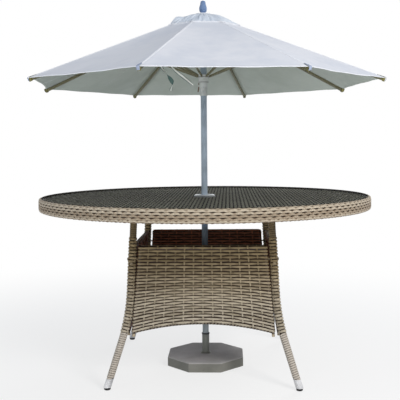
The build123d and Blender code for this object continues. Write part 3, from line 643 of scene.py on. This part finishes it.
def deck():
    """The cane deck under the glass: strands from front to back over wide-set stakes."""
    pitch, stake_gap, radius = 0.0145, 0.0420, hoop_radius - 0.006
    strand_width, stake_width = 0.0094, 0.0095
    hole = eyelet_tube_radius + 0.001
    opening = hole + 0.004  # the cane stops short of the eyelet
    thick = deck_high.z - deck_middle_z
    count, stake_count = int(radius / pitch), int(radius / stake_gap)

    def pieces(offset, step):
        """The stretches of a line through the disc, each side of the hole."""
        reach = math.sqrt(radius**2 - offset**2)
        ends = [(-reach, reach)]
        if abs(offset) < opening:
            stop = math.sqrt(opening**2 - offset**2)
            ends = [(-reach, -stop), (stop, reach)]
        return [np.linspace(a, b, max(3, int((b - a) / step))) for a, b in ends]

    # a very dark sheet in the deck's middle plane: painted shade in the weave's gaps
    top, bottom = deck_middle_z + 0.0001, deck_middle_z - 0.0001
    sheet = [(hole, bottom), (radius, bottom), (radius, top), (hole, top)]
    made = [turned("deck-shade-sheet", sheet, full_turn(120), deck_shade_sheet, sharp=40)]
    for layer, label, row_finish, bar_finish in (
        (1, "", deck_finish, stake_finish),
        (-1, "-below", body_finish, body_finish),
    ):
        strands, bars = Strands(), Strands()

        def place(along, across, out):
            points = np.stack([across, along, deck_middle_z + layer * out], axis=-1)
            return points, along_x, upwards * layer

        rows = [
            (number, along / stake_gap, along, 0 * along + number * pitch, strand_width)
            for number in range(-count, count + 1)
            for along in pieces(number * pitch, 0.007)
        ]
        stakes = [
            (number, across / pitch, 0 * across + number * stake_gap, across, stake_width)
            for number in range(-stake_count, stake_count + 1)
            for across in pieces(number * stake_gap, 0.0029)
        ]
        plain_weave(strands, bars, place, rows, stakes, thick * 0.5, thick * 0.24, thick * 0.46)
        made.append(strands.finish(f"deck-cane-work{label}", row_finish))
        made.append(bars.finish(f"deck-stakes{label}", bar_finish))
    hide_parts("deck_weave")
    carry(made)


# ---- Skirt panels ----
def panel_half(drop):
    return panel_top_half + (panel_bottom_half - panel_top_half) * drop / panel_drop


def panel_reach(drop):
    """How far from a panel's middle its weave turns back, which is less at the round corners."""
    corner = np.clip(1 - drop / panel_corner, 0, 1)
    return panel_half(drop) - panel_corner * (1 - np.sqrt(1 - corner**2)) - panel_edge


def panel_bottom(across):
    """How far down a panel reaches, at a distance from its middle."""
    share = np.clip(np.abs(across) / panel_bottom_half, 0, 1)
    return panel_drop - panel_arch * (1 - share**2)


def panel_bend(level):
    """How far a strand at this level is drawn up in the middle, to follow the arch."""
    return panel_arch * smooth((level / panel_drop - 0.2) / 0.8)


def panel_axes(azimuth):
    """The middle of a panel's top edge, and the ways across it, up its slope and out of it."""
    outwards = swung(azimuth, along_x, along_y)
    up_slope, face_out = swung(panel_lean, upwards, -outwards), swung(panel_lean, outwards, upwards)
    origin = outwards * panel_top_offset + upwards * panel_top_z
    return origin, np.array([np.cross(up_slope, face_out), up_slope, face_out])


def panel_place(azimuth, layer):
    """A way to turn (along, across, out) into points, sides and normals on a panel's face.

    layer is 1 on the outer face and -1 on the inner. Beyond the side and top edges the weave
    rolls over towards the panel's middle plane.
    """
    origin, axes = panel_axes(azimuth)

    def place(along, across, out):
        for drop in panel_tube_drops:  # the weave bulges where it passes over a tube
            near = 1 - smooth((np.abs(across - drop) - panel_tube_radius) / 0.006)
            out = out + np.where(out > 0, 0.0018 * near, 0)
        reach, outer = panel_reach(across), np.sign(along)
        past = np.clip((np.abs(along) - reach) / panel_edge, 0, math.pi / 2)
        above = np.clip((panel_edge - across) / panel_edge, 0, math.pi / 2)
        flat = layer * np.cos(past) * np.cos(above)
        along = outer * np.where(past > 0, reach + out * np.sin(past), np.abs(along))
        across = np.where(above > 0, panel_edge - out * np.sin(above), across)
        points = origin + np.stack([along, -across, out * flat], axis=-1) @ axes
        rolled = [outer * np.sin(past), np.sin(above) * np.cos(past), flat]
        normal = unit(np.stack(rolled, axis=-1) @ axes)
        side = axes[1] - (normal @ axes[1])[:, None] * normal
        return points, unit(side), normal

    return place


def panel_work(side_name, azimuth):
    """One skirt panel: plain weave outside and inside, wrapped round the tube frame's edges."""
    row_count = int(panel_drop / strand_pitch) + 1
    row_width, stake_width, stake_count = 0.0086, 0.0064, 7
    roll = panel_edge * math.pi / 2
    # the inner layer's cane is the darker copy: painted shade
    for layer, label, finish in ((1, "", body_finish), (-1, "-inside", shaded_inside_finish)):
        strands, rows, stakes = Strands(), [], []
        place = panel_place(azimuth, layer)
        first_level = 0.0108 if layer > 0 else 0.0044
        for number in range(row_count):
            level = first_level + strand_pitch * number
            if level > panel_drop - 0.006:
                continue
            half = panel_reach(level)
            turn_in = np.linspace(0.2, 1, 5) * roll
            straight = np.linspace(-half, half, 141)
            along = np.concatenate([-half - turn_in[::-1], straight, half + turn_in])
            share = np.clip(along / half, -1, 1)
            waver = 0.0005 * np.sin(share * (5 + number % 4) + 2.3 * number)
            across = level - panel_bend(level) * (1 - share**2) + waver
            shown = across < panel_bottom(along) - 0.0075
            breaks = np.flatnonzero(np.diff(shown.astype(int))) + 1
            for run in np.split(np.arange(len(along)), breaks):
                if shown[run[0]] and len(run) > 3:
                    at = share[run] * stake_count
                    rows.append((number, at, along[run], across[run], row_width))
        numbers = np.arange(-2, row_count + 4)
        levels = first_level + strand_pitch * numbers
        for number in range(1 - stake_count, stake_count):
            share = number / stake_count
            across = np.arange(panel_edge - roll, panel_drop, strand_pitch / 8)
            along = share * (panel_half(np.maximum(across, 0)) - panel_edge)
            keep = across < panel_bottom(along) - 0.005
            at = np.interp(across, levels - panel_bend(levels) * (1 - share**2), numbers)
            stakes.append((number, at[keep], along[keep], across[keep], stake_width))
        weave = panel_base, panel_sway, panel_thick
        plain_weave(strands, strands, place, rows, stakes, *weave, dip=0.2)
        if layer > 0:
            panel_border(strands, azimuth)
            carry([panel_core(side_name, azimuth)])
        made = strands.finish(f"panel-{side_name}{label}", finish)
        carry([made])
        if layer > 0:
            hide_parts(f"skirt_weave_{side_name}")


def panel_middle(azimuth, along, across):
    """Points on a panel's middle plane."""
    origin, axes = panel_axes(azimuth)
    return origin + np.stack([along, -across], axis=-1) @ axes[:2]


def panel_border(strands, azimuth):
    """The strand along the top edge, and the border wound along the arch."""
    _, (_, up_slope, face_out) = panel_axes(azimuth)
    along = np.linspace(-1, 1, 60) * (panel_top_half - 0.010)
    path = panel_middle(azimuth, along, np.full(60, 0.0015))
    strands.add(path, face_out, up_slope, 0.0095, 0.0026, 0.1)

    pitch, half_wide, half_tall = 0.0135, 0.0060, 0.0034
    across = np.linspace(-1, 1, 400) * (panel_bottom_half - 0.006)
    outline = np.stack([across, panel_bottom(across) - 0.0046], axis=-1)
    lengths = lengths_along(outline)
    spots = np.linspace(0, lengths[-1], int(lengths[-1] / pitch * 14))
    centre = panel_middle(azimuth, *points_at(spots, lengths, outline).T)
    heading = unit(np.gradient(centre, axis=0))
    tall = unit(np.cross(heading, face_out))
    out = swung(spots / pitch * 2 * math.pi, half_wide * face_out, half_tall * tall)
    strands.add(centre + out, heading, unit(out), 0.0115, 0.0020, -0.35)


def panel_core(side_name, azimuth):
    """A dark sheet between a panel's outer and inner weave: painted shade in the weave's gaps."""
    share, down = np.meshgrid(np.linspace(-1, 1, 31), np.linspace(0, 1, 9), indexing="ij")
    inset, half_thick = 0.010, 0.0008 * panel_axes(azimuth)[1][2]
    across = 0.009 + down * (panel_bottom(share * (panel_top_half - inset)) - 0.021)
    middle = panel_middle(azimuth, share * (panel_half(across) - inset), across)
    name = f"panel-{side_name}-backing"
    return closed_sheet(name, middle - half_thick, middle + half_thick, [panel_shade_sheet])


# ---- Legs ----
def leg_axis():
    """A leg's centre line, from the top down: (distance from the middle, height)."""
    plan = np.array([(offset * math.sqrt(2), z) for offset, z in leg_line])
    first, second = unit(plan[1] - plan[0]), unit(plan[2] - plan[1])
    turn = math.acos(float(first @ second))
    start = plan[1] - first * leg_bend_radius * math.tan(turn / 2)
    inward = np.array([-first[1], first[0]])
    centre = start + inward * leg_bend_radius
    swept = centre - leg_bend_radius * swung(np.linspace(0, turn, 40), inward, -first)
    line = np.array([plan[0], *swept, plan[2]])
    lengths = lengths_along(line)
    return points_at(np.arange(0, lengths[-1], leg_step), lengths, line)


def leg_work(name, side_x, side_y):
    """A bent tube wrapped in cane: fine wrapping at the top and the foot, plain weave between."""
    line = leg_axis()
    diagonal = np.array([side_x, side_y, 0]) / math.sqrt(2)
    sideways = np.cross(diagonal, upwards)
    points = line[:, :1] * diagonal + line[:, 1:] * upwards
    headings = unit(np.gradient(points, axis=0))
    inwards = np.cross(headings, sideways)
    height, numbers = points[:, 2], np.arange(len(points))
    row_step = strand_pitch / leg_step
    slim_z, woven_z = leg_woven_z

    def around(index, radius, angle):
        """Points round the leg at places along it, with the ways ahead and out."""
        lines = points, headings, inwards
        at, ahead, inside = (points_at(index, numbers, line) for line in lines)
        out = swung(angle, sideways, inside)
        return at + out * np.asarray(radius)[:, None], ahead, out

    strands = Strands()
    woven = np.flatnonzero((height < woven_z) & (height > slim_z))
    first, last = woven[0], woven[-1]
    angle = full_turn(48)
    base, stake_count = 0.0149, 4
    row_width, row_thick = 0.0100, 0.0038
    stake_width, stake_thick = 0.0050, 0.0022
    # the lift marks darken the cane where it dips: painted shade
    for row in range(int((last - first) / row_step) + 1):
        wave = np.cos(stake_count / 2 * angle + math.pi * row)
        index = np.full(len(angle), first + row * row_step)
        path, ahead, out = around(index, base + 0.0008 * wave, angle)
        strands.add(path, ahead, out, row_width, row_thick, 0.2 * wave + 0.1, closed=True)
    for stake in range(stake_count):
        index = np.arange(first - 2, last + 2, row_step / 8)
        turn = np.full(len(index), stake * 2 * math.pi / stake_count)
        wave = -np.cos(math.pi * ((index - first) / row_step + stake + stake_shift))
        path, ahead, out = around(index, base + 0.0006 + 0.0016 * wave, turn)
        side = unit(np.cross(ahead, out))
        strands.add(path, side, out, stake_width, stake_thick, wave - 0.1)
    label = name.replace("_", "-")
    made = strands.finish(f"{label}-weave", body_finish)

    wraps, wrap_pitch, wrap_thick = Strands(), 0.0086, 0.0030
    for low, high, thin, full in (
        (woven_z, 1.0, 0.0141, 0.0141),
        (ferrule_top_z - 0.010, slim_z + 0.006, 0.0143, 0.0152),
    ):
        reach = np.flatnonzero((height < high) & (height > low))
        turns = (reach[-1] - reach[0]) * leg_step / wrap_pitch
        index = np.linspace(reach[0], reach[-1], int(turns * 26))
        radius = np.linspace(full, thin, len(index)) - 0.0014
        spin = (index - index[0]) * leg_step / wrap_pitch * 2 * math.pi
        drop = ferrule_top_z + 0.003 - around(index, radius, spin)[0][:, 2]
        tucked = radius - 0.004 * smooth(drop / 0.003)  # the last turns go into the ferrule
        path, ahead, out = around(index, tucked, spin)
        wraps.add(path, ahead, out, wrap_pitch * 0.98, wrap_thick, 0.02)
    # the tube that the weave and the wrapping are wound on, in staves
    tube_radius, stave_width, stave_thick = 0.0116, 0.0068, 0.0022
    index = np.arange(0, len(points) - ferrule_top_z / leg_step * 0.98, 8.0)
    for turn in full_turn(12):
        path, ahead, out = around(index, 0 * index + tube_radius, 0 * index + turn)
        # inside the woven part the staves are marked fully dark: painted shade behind the weave
        depth = np.where(path[:, 2] < slim_z, 0.0, -1.0)
        wraps.add(path, unit(np.cross(ahead, out)), out, stave_width, stave_thick, depth)
    wrapped = wraps.finish(f"{label}-wrap", wrap_finish)
    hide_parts(name)
    carry([made, wrapped, leg_plate(f"{label}-plate", side_x, side_y)])


def leg_plate(name, side_x, side_y):
    """The plate on top of a leg, with rounded corners and edges, bolted under the rails."""
    corner, bevel = 0.008, 0.0008
    low, high = leg_top_z, leg_top_z + leg_plate_thickness
    rings = [(low, bevel), (low + bevel, 0), (high - bevel, 0), (high, bevel)]
    quarter, turn = np.repeat(90 * np.arange(4), 7), np.tile(np.linspace(0, 90, 7), 4)
    flat = swung(np.radians(quarter + turn), along_x, along_y)
    centre = np.sign(swung(np.radians(quarter + 45), along_x, along_y)) * (leg_plate_half - corner)
    centre = centre + np.array([side_x, side_y, 0]) * leg_offset
    points = np.concatenate([centre + (corner - inset) * flat + z * upwards for z, inset in rings])
    return make_object(name, points, capped_rings(len(turn), len(rings)), [paint], sharp=40)


def bolts():
    """Domed bolts: through the legs into the panels' tubes, and up through the legs' plates."""
    points, faces, count = [], [], 24
    turn = full_turn(count)
    shank, tip = 0.0030, 0.0004
    head = [(tip, -0.0026), (0.0028, -0.0025), (0.0048, -0.0019), (0.0058, -0.0010)]
    head += [(0.0060, -0.0003), (0.0057, 0.0), (shank, 0.0)]
    leg_half = 0.0172  # from a leg's centre line to where a head rests on it
    plate_spread = 0.022  # from a plate's middle to its bolts, along X and along Y
    plate_bolt_end = 0.003  # how far a bolt reaches past the plate

    def bolt(seat, along, length):
        """A bolt with its head's rim on the seat."""
        side = unit(np.cross(along, [0.3, 0.2, 0.9] if abs(along[2]) < 0.5 else [1.0, 0.2, 0]))
        ring = swung(turn, side, np.cross(along, side))
        profile = head + [(shank, length), (tip, length)]
        faces.extend(capped_rings(count, len(profile), len(points) * count))
        points.extend(seat + along * depth + radius * ring for radius, depth in profile)

    (top, top_z), (knee, knee_z) = leg_line[:2]
    for azimuth, extra in ((-90, 0), (0, bolt_stagger), (90, 0), (180, bolt_stagger)):
        origin, (across, up_slope, _) = panel_axes(math.radians(azimuth))
        for side in (-1, 1):
            for drop in (d + extra for d in bolt_drops):
                share = (top_z - (panel_top_z - drop)) / (top_z - knee_z)
                reach = top + share * (knee - top) + leg_half
                length = reach - (panel_half(drop) - panel_tube_side) - panel_tube_radius
                bolt(origin + side * across * reach - up_slope * drop, -side * across, length)
    for x, y, side in ((x, y, side) for x in (-1, 1) for y in (-1, 1) for side in (-1, 1)):
        aside = np.array([side, -x * y * side, 0]) * plate_spread
        seat = np.array([x * leg_offset, y * leg_offset, leg_top_z]) + aside
        bolt(seat, upwards, leg_plate_thickness + plate_bolt_end)
    made = make_object("bolts", np.concatenate(points), faces, [bolt_paint], sharp=40)
    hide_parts("frame_bolts")
    carry([made])


# ---- Canopy ----
def rib_directions(number):
    """Outwards and sideways for a rib, counted from 1."""
    azimuth = math.radians(first_rib_angle + (number - 1) * 360 / rib_count)
    out = swung(azimuth, along_x, along_y)
    return out, np.cross(upwards, out)


def on_gore(pulled, lateral):
    """The way out along the rib and the way aside, for a distance from the pole."""
    outwards = pulled * (1 - np.abs(lateral) * math.sin(half_gore) ** 2)
    return outwards, lateral * pulled * gore_width


def cloth_surface(radius, lateral):
    """The canopy's underside, as (outwards, sideways, height) in the rib's own frame.

    radius is the distance from the pole to the rib's line, and lateral runs from -1 to 1 between
    the middles of the two panels beside the rib.
    """
    share = (radius - canopy_hole_radius) / (corner_radius - canopy_hole_radius)
    middle, within = np.abs(lateral), np.clip(share, 0, 1)
    scallop = 1 - (1 - middle) ** 2
    sag = 0.0004 + 0.0085 * np.sin(math.pi * within) ** 0.8
    # faint folds that run from the tip of the rib into the panels
    fold = np.sin(middle * 9 + share * 5) * smooth((share - 0.55) / 0.45)
    fold = 0.0011 * fold * middle * (1 - middle) * 4
    height = corner_z + (corner_radius - radius) * canopy_fall - sag * scallop + fold
    return *on_gore(radius - hem_scallop * scallop * within**2, lateral), height


def vent_surface(number, radius, lateral):
    """The small upper tier. It bellies out between the ribs and is creased down to its hem."""
    share = np.clip((radius - vent_hole_radius) / (vent_radius - vent_hole_radius), 0, 1)
    middle = np.abs(lateral)
    belly = 1 - (1 - middle) ** 2
    hem_z = corner_z + (corner_radius - vent_radius) * canopy_fall + 0.0040 - 0.0020 * belly
    slope = vent_peak_z - (vent_peak_z - hem_z) * share**1.1
    bulge = 0.012 * belly * np.sin(math.pi * share**1.2)
    creases = np.sin(lateral * 13 + share * 3) + 0.6 * np.sin(lateral * 23 - share * 5 + 1.0)
    taper = smooth((share - 0.15) / 0.5) * (0.3 + 0.7 * smooth((1 - share) / 0.14))
    crinkle = 0.0019 * creases * taper * np.clip(middle * (1.02 - middle) * 5, 0, 1)
    # the wind has lifted the panel between the fourth and the fifth rib
    lifted = {4: 1 - np.abs(1 - lateral), 5: -lateral}.get(number, -1 + 0 * lateral)
    flap = 0.017 * smooth((lifted - 0.05) / 0.8) * np.exp(-(((share - 0.74) / 0.19) ** 2))
    height = slope + bulge + crinkle + flap
    return *on_gore(radius * (1 - 0.03 * belly * share**2), lateral), height


def closed_sheet(name, over, under, materials, hems=()):
    """A closed sheet between two grids of points.

    The step to the next row, crossed with the step to the next column, points to over's side.
    materials are for the top, the underside and the hems, and hems are the rows that are hemmed.
    """
    rows, columns = over.shape[:2]
    below = rows * columns
    top = np.arange(below).reshape(rows, columns)
    square = [top[:-1, :-1], top[1:, :-1], top[1:, 1:], top[:-1, 1:]]
    quads = np.stack(square, axis=-1).reshape(-1, 4)
    flip = np.stack([square[i] for i in (0, 3, 2, 1)], axis=-1).reshape(-1, 4) + below
    edges = [
        np.stack([side[:-1], side[1:], side[1:] + below, side[:-1] + below], axis=-1)
        for side in (top[0], top[-1, ::-1], top[::-1, 0], top[:, -1])
    ]
    points = np.concatenate([over.reshape(-1, 3), under.reshape(-1, 3)])
    faces = np.concatenate([quads, flip, *edges]).tolist()
    made = make_object(name, points, faces, materials, sharp=40)
    slots = np.zeros((rows - 1, columns - 1), int)
    slots[list(hems)] = len(materials) - 1
    slots = np.append(slots, np.full(len(flip), min(1, len(materials) - 1)))
    slots = np.append(slots, np.full(len(faces) - len(slots), len(materials) - 1 if hems else 0))
    made.data.polygons.foreach_set("material_index", slots)
    made.data.update()
    return made


def sheet_mesh(name, number, radii, laterals, surface, thick, materials, hems=(), stitches=None):
    """A sheet over a rib, with its underside on a surface.

    stitches gives for each point how far it is from a row of stitches, and how far along.
    """
    out, side = rib_directions(number)
    grid = np.meshgrid(radii, laterals, indexing="ij")
    under = np.stack(surface(*grid), axis=-1) @ np.array([out, side, upwards])
    normal = unit(np.cross(np.gradient(under, axis=0), np.gradient(under, axis=1)))
    over = under + facing_up(normal) * np.asarray(thick)[..., None]
    made = closed_sheet(name, over, under, materials, hems)
    if stitches:
        off, run = stitches(*grid)
        note_marks(made, {"off": np.tile(off.ravel(), 2), "run": np.tile(run.ravel(), 2)})
    return made


def lap(name, number, radii, surface, drop, material, keep):
    """A strip of cloth that is sewn under one edge of a piece and lies under the next piece.

    When the canopy is folded, the pieces stand apart at the top, and the strip shows as the pleat
    between them. It is as wide at each radius as the gap that it closes there.
    """
    outwards, sideways, height = surface(radii, np.ones_like(radii))
    closed = rib_pivot[0] + (outwards - rib_pivot[0]) * math.cos(rib_swing)
    closed = closed + (height - rib_pivot[1]) * math.sin(rib_swing)
    gap = closed * math.tan(half_gore) / (sideways * keep) - 1
    reach = np.clip(2 * gap + 0.14, 0.1, 1.15)
    sewn = 0.93  # where the strip is sewn on, as a share of the piece's half width

    def lowered(radius, share):
        """share runs from the sewn edge to the free one."""
        lateral = sewn + share * (1 - sewn + np.interp(radius, radii, reach))
        outwards, sideways, height = surface(radius, lateral)
        return outwards, sideways, height - drop

    shares = np.linspace(0, 1, 9)
    return sheet_mesh(name, number, radii, shares, lowered, 0.0009, [material, shaded_underside_cloth])


def fold_with_rib(piece, number):
    """The piece rides on its rib, and moves with it as the canopy folds, with a mesh of its own."""
    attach(piece, f"rib_{number}")
    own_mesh(piece)


def sew(made, others, number):
    """Sets a cloth that is stretched over a rib, with the pieces that are sewn to it, on the rib.
    """
    for piece in (made, *others):
        fold_with_rib(piece, number)


def canopy_piece(number):
    """The canopy's cloth over one rib, out to the middle of the panel on each side."""

    def lapped_surface(radius, lateral):
        outwards, sideways, height = cloth_surface(radius, lateral)
        return outwards, sideways, height - np.where(lateral > 1, 0.0003, 0)

    def seam_surface(radius, lateral):
        share = lateral * seam_half / (radius * gore_width)
        outwards, sideways, height = cloth_surface(radius, share)
        return outwards, sideways, height + cloth_thickness - 0.0002

    inner, outer = canopy_hole_radius, corner_radius - hem_width
    radii = np.concatenate(
        [
            np.linspace(inner, inner + 0.012, 4),
            np.linspace(inner + 0.020, outer - 0.004, 60),
            np.linspace(outer, corner_radius + 0.0015, 5),
        ]
    )
    laterals = np.sin(np.linspace(-1, 1, 51) * math.pi / 2)
    laterals = np.append(laterals, 1.012)  # the last column laps the next piece
    rows, columns = len(radii), len(laterals)
    thick = np.full((rows, columns), cloth_thickness)
    thick[:4] += 0.0007  # both hems are folded over
    thick[-5:] += 0.0008
    made = sheet_mesh(
        f"canopy-{number}", number, radii, laterals, lapped_surface, thick,
        [cloth_top, shaded_underside_cloth, seam_cloth], hems=(0, 1, 2, *range(rows - 5, rows - 1)),
        stitches=lambda radius, lateral: (
            corner_radius - hem_stitches - radius, lateral * radius * gore_width
        ),
    )
    seam_radii = np.linspace(inner + 0.001, corner_radius - 0.001, 60)
    rounded = np.linspace(-1, 1, 7)
    seam_thick = np.tile(0.0014 * (1 - 0.7 * np.abs(rounded) ** 3), (len(seam_radii), 1))
    seam = sheet_mesh(
        f"seam-{number}", number, seam_radii, rounded, seam_surface, seam_thick, [seam_cloth],
        stitches=lambda radius, lateral: (np.abs(lateral) * seam_half - seam_stitches, radius),
    )
    pleat_radii = np.linspace(inner + 0.001, 0.43, 30)
    name = f"canopy-lap-{number}"
    pleat = lap(name, number, pleat_radii, cloth_surface, 0.0013, cloth_top, canopy_keep)
    sew(made, [seam, pleat], number)
    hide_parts(f"gore_{number}")


def vent_piece(number):
    """The vent's cloth over one rib, and the strip that is sewn under its edge."""
    surface = partial(vent_surface, number)
    radii = np.linspace(vent_hole_radius, vent_radius - 0.009, 28)
    radii = np.append(radii, np.linspace(vent_radius - 0.007, vent_radius, 3))
    laterals = np.linspace(-1, 1, 61)
    rows, columns = len(radii), len(laterals)
    thick = np.full((rows, columns), cloth_thickness)
    thick[-3:] += 0.0006
    made = sheet_mesh(
        f"vent-{number}", number, radii, laterals, surface, thick,
        [vent_cloth, shaded_underside_cloth, seam_cloth], hems=(rows - 2, rows - 3),
        stitches=lambda radius, lateral: (vent_radius - 0.0048 - radius, lateral * radius * 0.35),
    )
    pleat_radii = np.linspace(0.034, 0.140, 20)
    name = f"vent-lap-{number}"
    pleat = lap(name, number, pleat_radii, surface, 0.0048, vent_cloth, vent_keep)
    sew(made, [pleat], number)
    if number == 1:
        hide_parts("vent_cap")


def vent_collar():
    """The patch of cloth under the finial, where the vent's pieces meet."""
    profile = [(0.0060, 1.5256), (0.0200, 1.5258), (0.0330, 1.5254), (0.0365, 1.5237)]
    profile += [(0.0365, 1.5254), (0.0330, 1.5273), (0.0200, 1.5275), (0.0060, 1.5274)]
    turn = full_turn(64)
    ripple = 1 + 0.02 * np.sin(8 * turn[:, None])
    made = turned("vent-collar", profile, turn, seam_cloth, sharp=50, ripple=ripple)
    carry([made], "upper_mast")


def corner_tab(number):
    """The tab that is sewn on a corner and that passes round the rib's tip."""
    out, side = rib_directions(number)
    profile = [(-36, 10.2), (-20, 10.9), (-1.5, 10.9), (2.2, 9.8), (3.4, 7.0), (3.4, 2.5)]
    profile += [(3.0, -1), (2.0, -4.5)]  # millimetres past the rib's end, and over its line
    profile = np.array(profile) / 1000
    lengths = lengths_along(profile)
    spots = np.linspace(0, lengths[-1], 40)
    past, above = points_at(spots, lengths, profile).T
    along = rib_length + past
    radius = rib_pivot[0] + along * math.cos(rib_angle) + above * math.sin(rib_angle)
    height = rib_pivot[1] - along * math.sin(rib_angle) + above * math.cos(rib_angle)
    path = radius[:, None] * out + height[:, None] * upwards
    up = facing_up(unit(np.cross(unit(np.gradient(path, axis=0)), side)))
    known = [0, lengths[1], lengths[3], lengths[-1]]
    tab = Strands()
    tab.add(path, side, up, np.interp(spots, known, [0.007, 0.0125, 0.0135, 0.0115]), 0.0012)
    made = tab.finish(f"corner-tab-{number}", shaded_tab_cloth)
    rib = f"rib_{number}"
    carry([made], rib)


def spread(values, count):
    """Points on a smooth curve through a few points."""
    slopes = np.gradient(values, axis=0)
    spots = np.linspace(0, len(values) - 1, count)
    low = np.clip(spots.astype(int), 0, len(values) - 2)
    t = (spots - low)[:, None]
    return (
        (2 * t**3 - 3 * t**2 + 1) * values[low]
        + (t**3 - 2 * t**2 + t) * slopes[low]
        + (3 * t**2 - 2 * t**3) * values[low + 1]
        + (t**3 - t**2) * slopes[low + 1]
    )


def tie(number, route, twists, width):
    """A tie of thin webbing that hangs from the canopy and curls. route is in millimetres."""
    share = np.linspace(0, 1, 60)
    x, z = spread(np.array(route, float) / 1000, len(share)).T
    path = np.stack([x, tie_y + 0.004 * np.sin(share * 7 + number), z], axis=-1)
    heading = unit(np.gradient(path, axis=0))
    angle = np.radians(np.interp(share, np.linspace(0, 1, len(twists)), twists))
    # where the tie turns over, its dark teal back shows: painted shade
    side = unit(swung(angle, along_y, unit(np.cross(heading, along_y))))
    widths = width * np.interp(share, [0, 0.5, 0.74, 0.9, 1], [0.8, 0.85, 1.1, 0.9, 0.6])
    ribbon = Strands()
    ribbon.add(path, side, unit(np.cross(heading, side)), widths, 0.0011, sections=16)
    made = ribbon.finish(f"tie-{number}", tie_cloth)
    fold_with_rib(made, 6)
    return made


# ---- The table and the parasol ----
rim_band()
deck()
for side_name, degrees in (("front", -90), ("right", 0), ("back", 90), ("left", 180)):
    panel_work(side_name, math.radians(degrees))
for depth_name, side_y in (("front", -1), ("back", 1)):
    for side_name, side_x in (("left", -1), ("right", 1)):
        leg_work(f"leg_{depth_name}_{side_name}", side_x, side_y)
bolts()
for number in range(1, rib_count + 1):
    canopy_piece(number)
    corner_tab(number)
    vent_piece(number)
vent_collar()
first_tie = tie(
    1,
    [(-158, 1338), (-160, 1300), (-148, 1258), (-122, 1222), (-106, 1196), (-112, 1166)],
    (48, 62, 78, 68, 40, 8, -48, -58, 10, 62),
    0.018,
)
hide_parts("canopy_ties")
tie(
    2,
    [(-124, 1332), (-124, 1292), (-104, 1252), (-62, 1216), (-26, 1186)],
    (40, 58, 72, 50, 78, 60, 100),
    0.012,
)


# ---- Floor, light and camera ----
def floor():
    """A pale floor. It pales to white away from the object, whose shadow it keeps."""
    size = 40.0
    finish = Finish("floor-pale", (0.86, 0.86, 0.86, 1), 0.9, Specular_IOR_Level=0.0)
    corners = [(x * size, y * size, 0) for x, y in ((-1, -1), (1, -1), (1, 1), (-1, 1))]
    made = make_object("floor", corners, [(0, 1, 2, 3)], [finish.material])
    glow = finish.node("Emission", {"Color": (1, 1, 1, 1), "Strength": 1.0}).outputs[0]
    seen = finish.node("LightPath").outputs["Is Camera Ray"]
    share = finish.scaled(finish.ramp(finish.radius(), 0.8, 3.0), 0.28, 0.72)
    share = finish.math("MULTIPLY", share, seen)
    blend = finish.node("MixShader", {0: share, 1: finish.shader.outputs[0], 2: glow})
    output = finish.tree.nodes["Material Output"].inputs["Surface"]
    finish.tree.links.new(blend.outputs[0], output)


def lights():
    """Square softboxes that look at the pole's axis."""
    for name, place, aim_z, size, power, colour in (
        ("key", (3.05, -3.9, 3.0), 0.9, 1.8, 193, (1.0, 0.972, 0.93)),
        ("front fill", (-0.7, -4.0, 0.35), 0.9, 1.4, 30, (0.98, 1.0, 0.99)),
        ("back light", (2.0, 4.6, 2.3), 0.8, 2.4, 95, (0.97, 0.99, 1.0)),
        ("left fill", (-2.7, -2.2, 0.3), 0.7, 1.2, 28, (0.98, 1.0, 0.99)),
    ):
        light = bpy.data.lights.new(name, "AREA")
        light.shape, light.size, light.energy, light.color = "SQUARE", size, power, colour
        made = add_object(name, light)
        aim = Vector((0, 0, aim_z)) - Vector(place)
        made.location, made.rotation_euler = place, aim.to_track_quat("-Z", "Y").to_euler()
        made.visible_camera = made.visible_glossy = False


def world():
    """Even light from all round. What the camera, gloss and glass see of it is white."""
    made = bpy.data.worlds.new("studio")
    bpy.context.scene.world = made
    made.use_nodes = True
    tree, node = made.node_tree, partial(add_node, made.node_tree)
    path = node("LightPath").outputs
    seen = path["Is Camera Ray"]
    for kind in ("Is Glossy Ray", "Is Transmission Ray"):
        seen = node("Math", {0: seen, 1: path[kind]}, operation="MAXIMUM").outputs[0]
    light = tree.nodes["Background"]
    light.inputs["Color"].default_value = (0.88, 0.955, 1.08, 1)
    light.inputs["Strength"].default_value = 0.385
    white = node("Background", {"Color": (1, 1, 1, 1), "Strength": 1.0})
    blend = node("MixShader", {0: seen, 1: light.outputs[0], 2: white.outputs[0]})
    tree.links.new(blend.outputs[0], tree.nodes["World Output"].inputs["Surface"])


def camera():
    """A little over the table's top and right of its middle, looking slightly down."""
    distance, height, aside = 3.2163, 0.9551, -0.0191
    turn, tilt, roll = math.radians(2.228), math.radians(2.047), 0.0086
    focal_share = 734.6 / 400  # the focal length over the picture's width
    data = bpy.data.cameras.new("camera")
    data.sensor_width = 36.0
    data.lens = focal_share * data.sensor_width
    data.shift_y = -0.07
    made = add_object("camera", data)
    made.matrix_world = (
        Matrix.Translation(Matrix.Rotation(turn, 3, "Z") @ Vector((aside, -distance, height)))
        @ Matrix.Rotation(turn, 4, "Z")
        @ Matrix.Rotation(math.pi / 2 - tilt, 4, "X")
        @ Matrix.Rotation(-roll, 4, "Z")
    )
    bpy.context.scene.camera = made


floor()
world()
lights()
camera()
bpy.context.scene.view_settings.view_transform = "Standard"
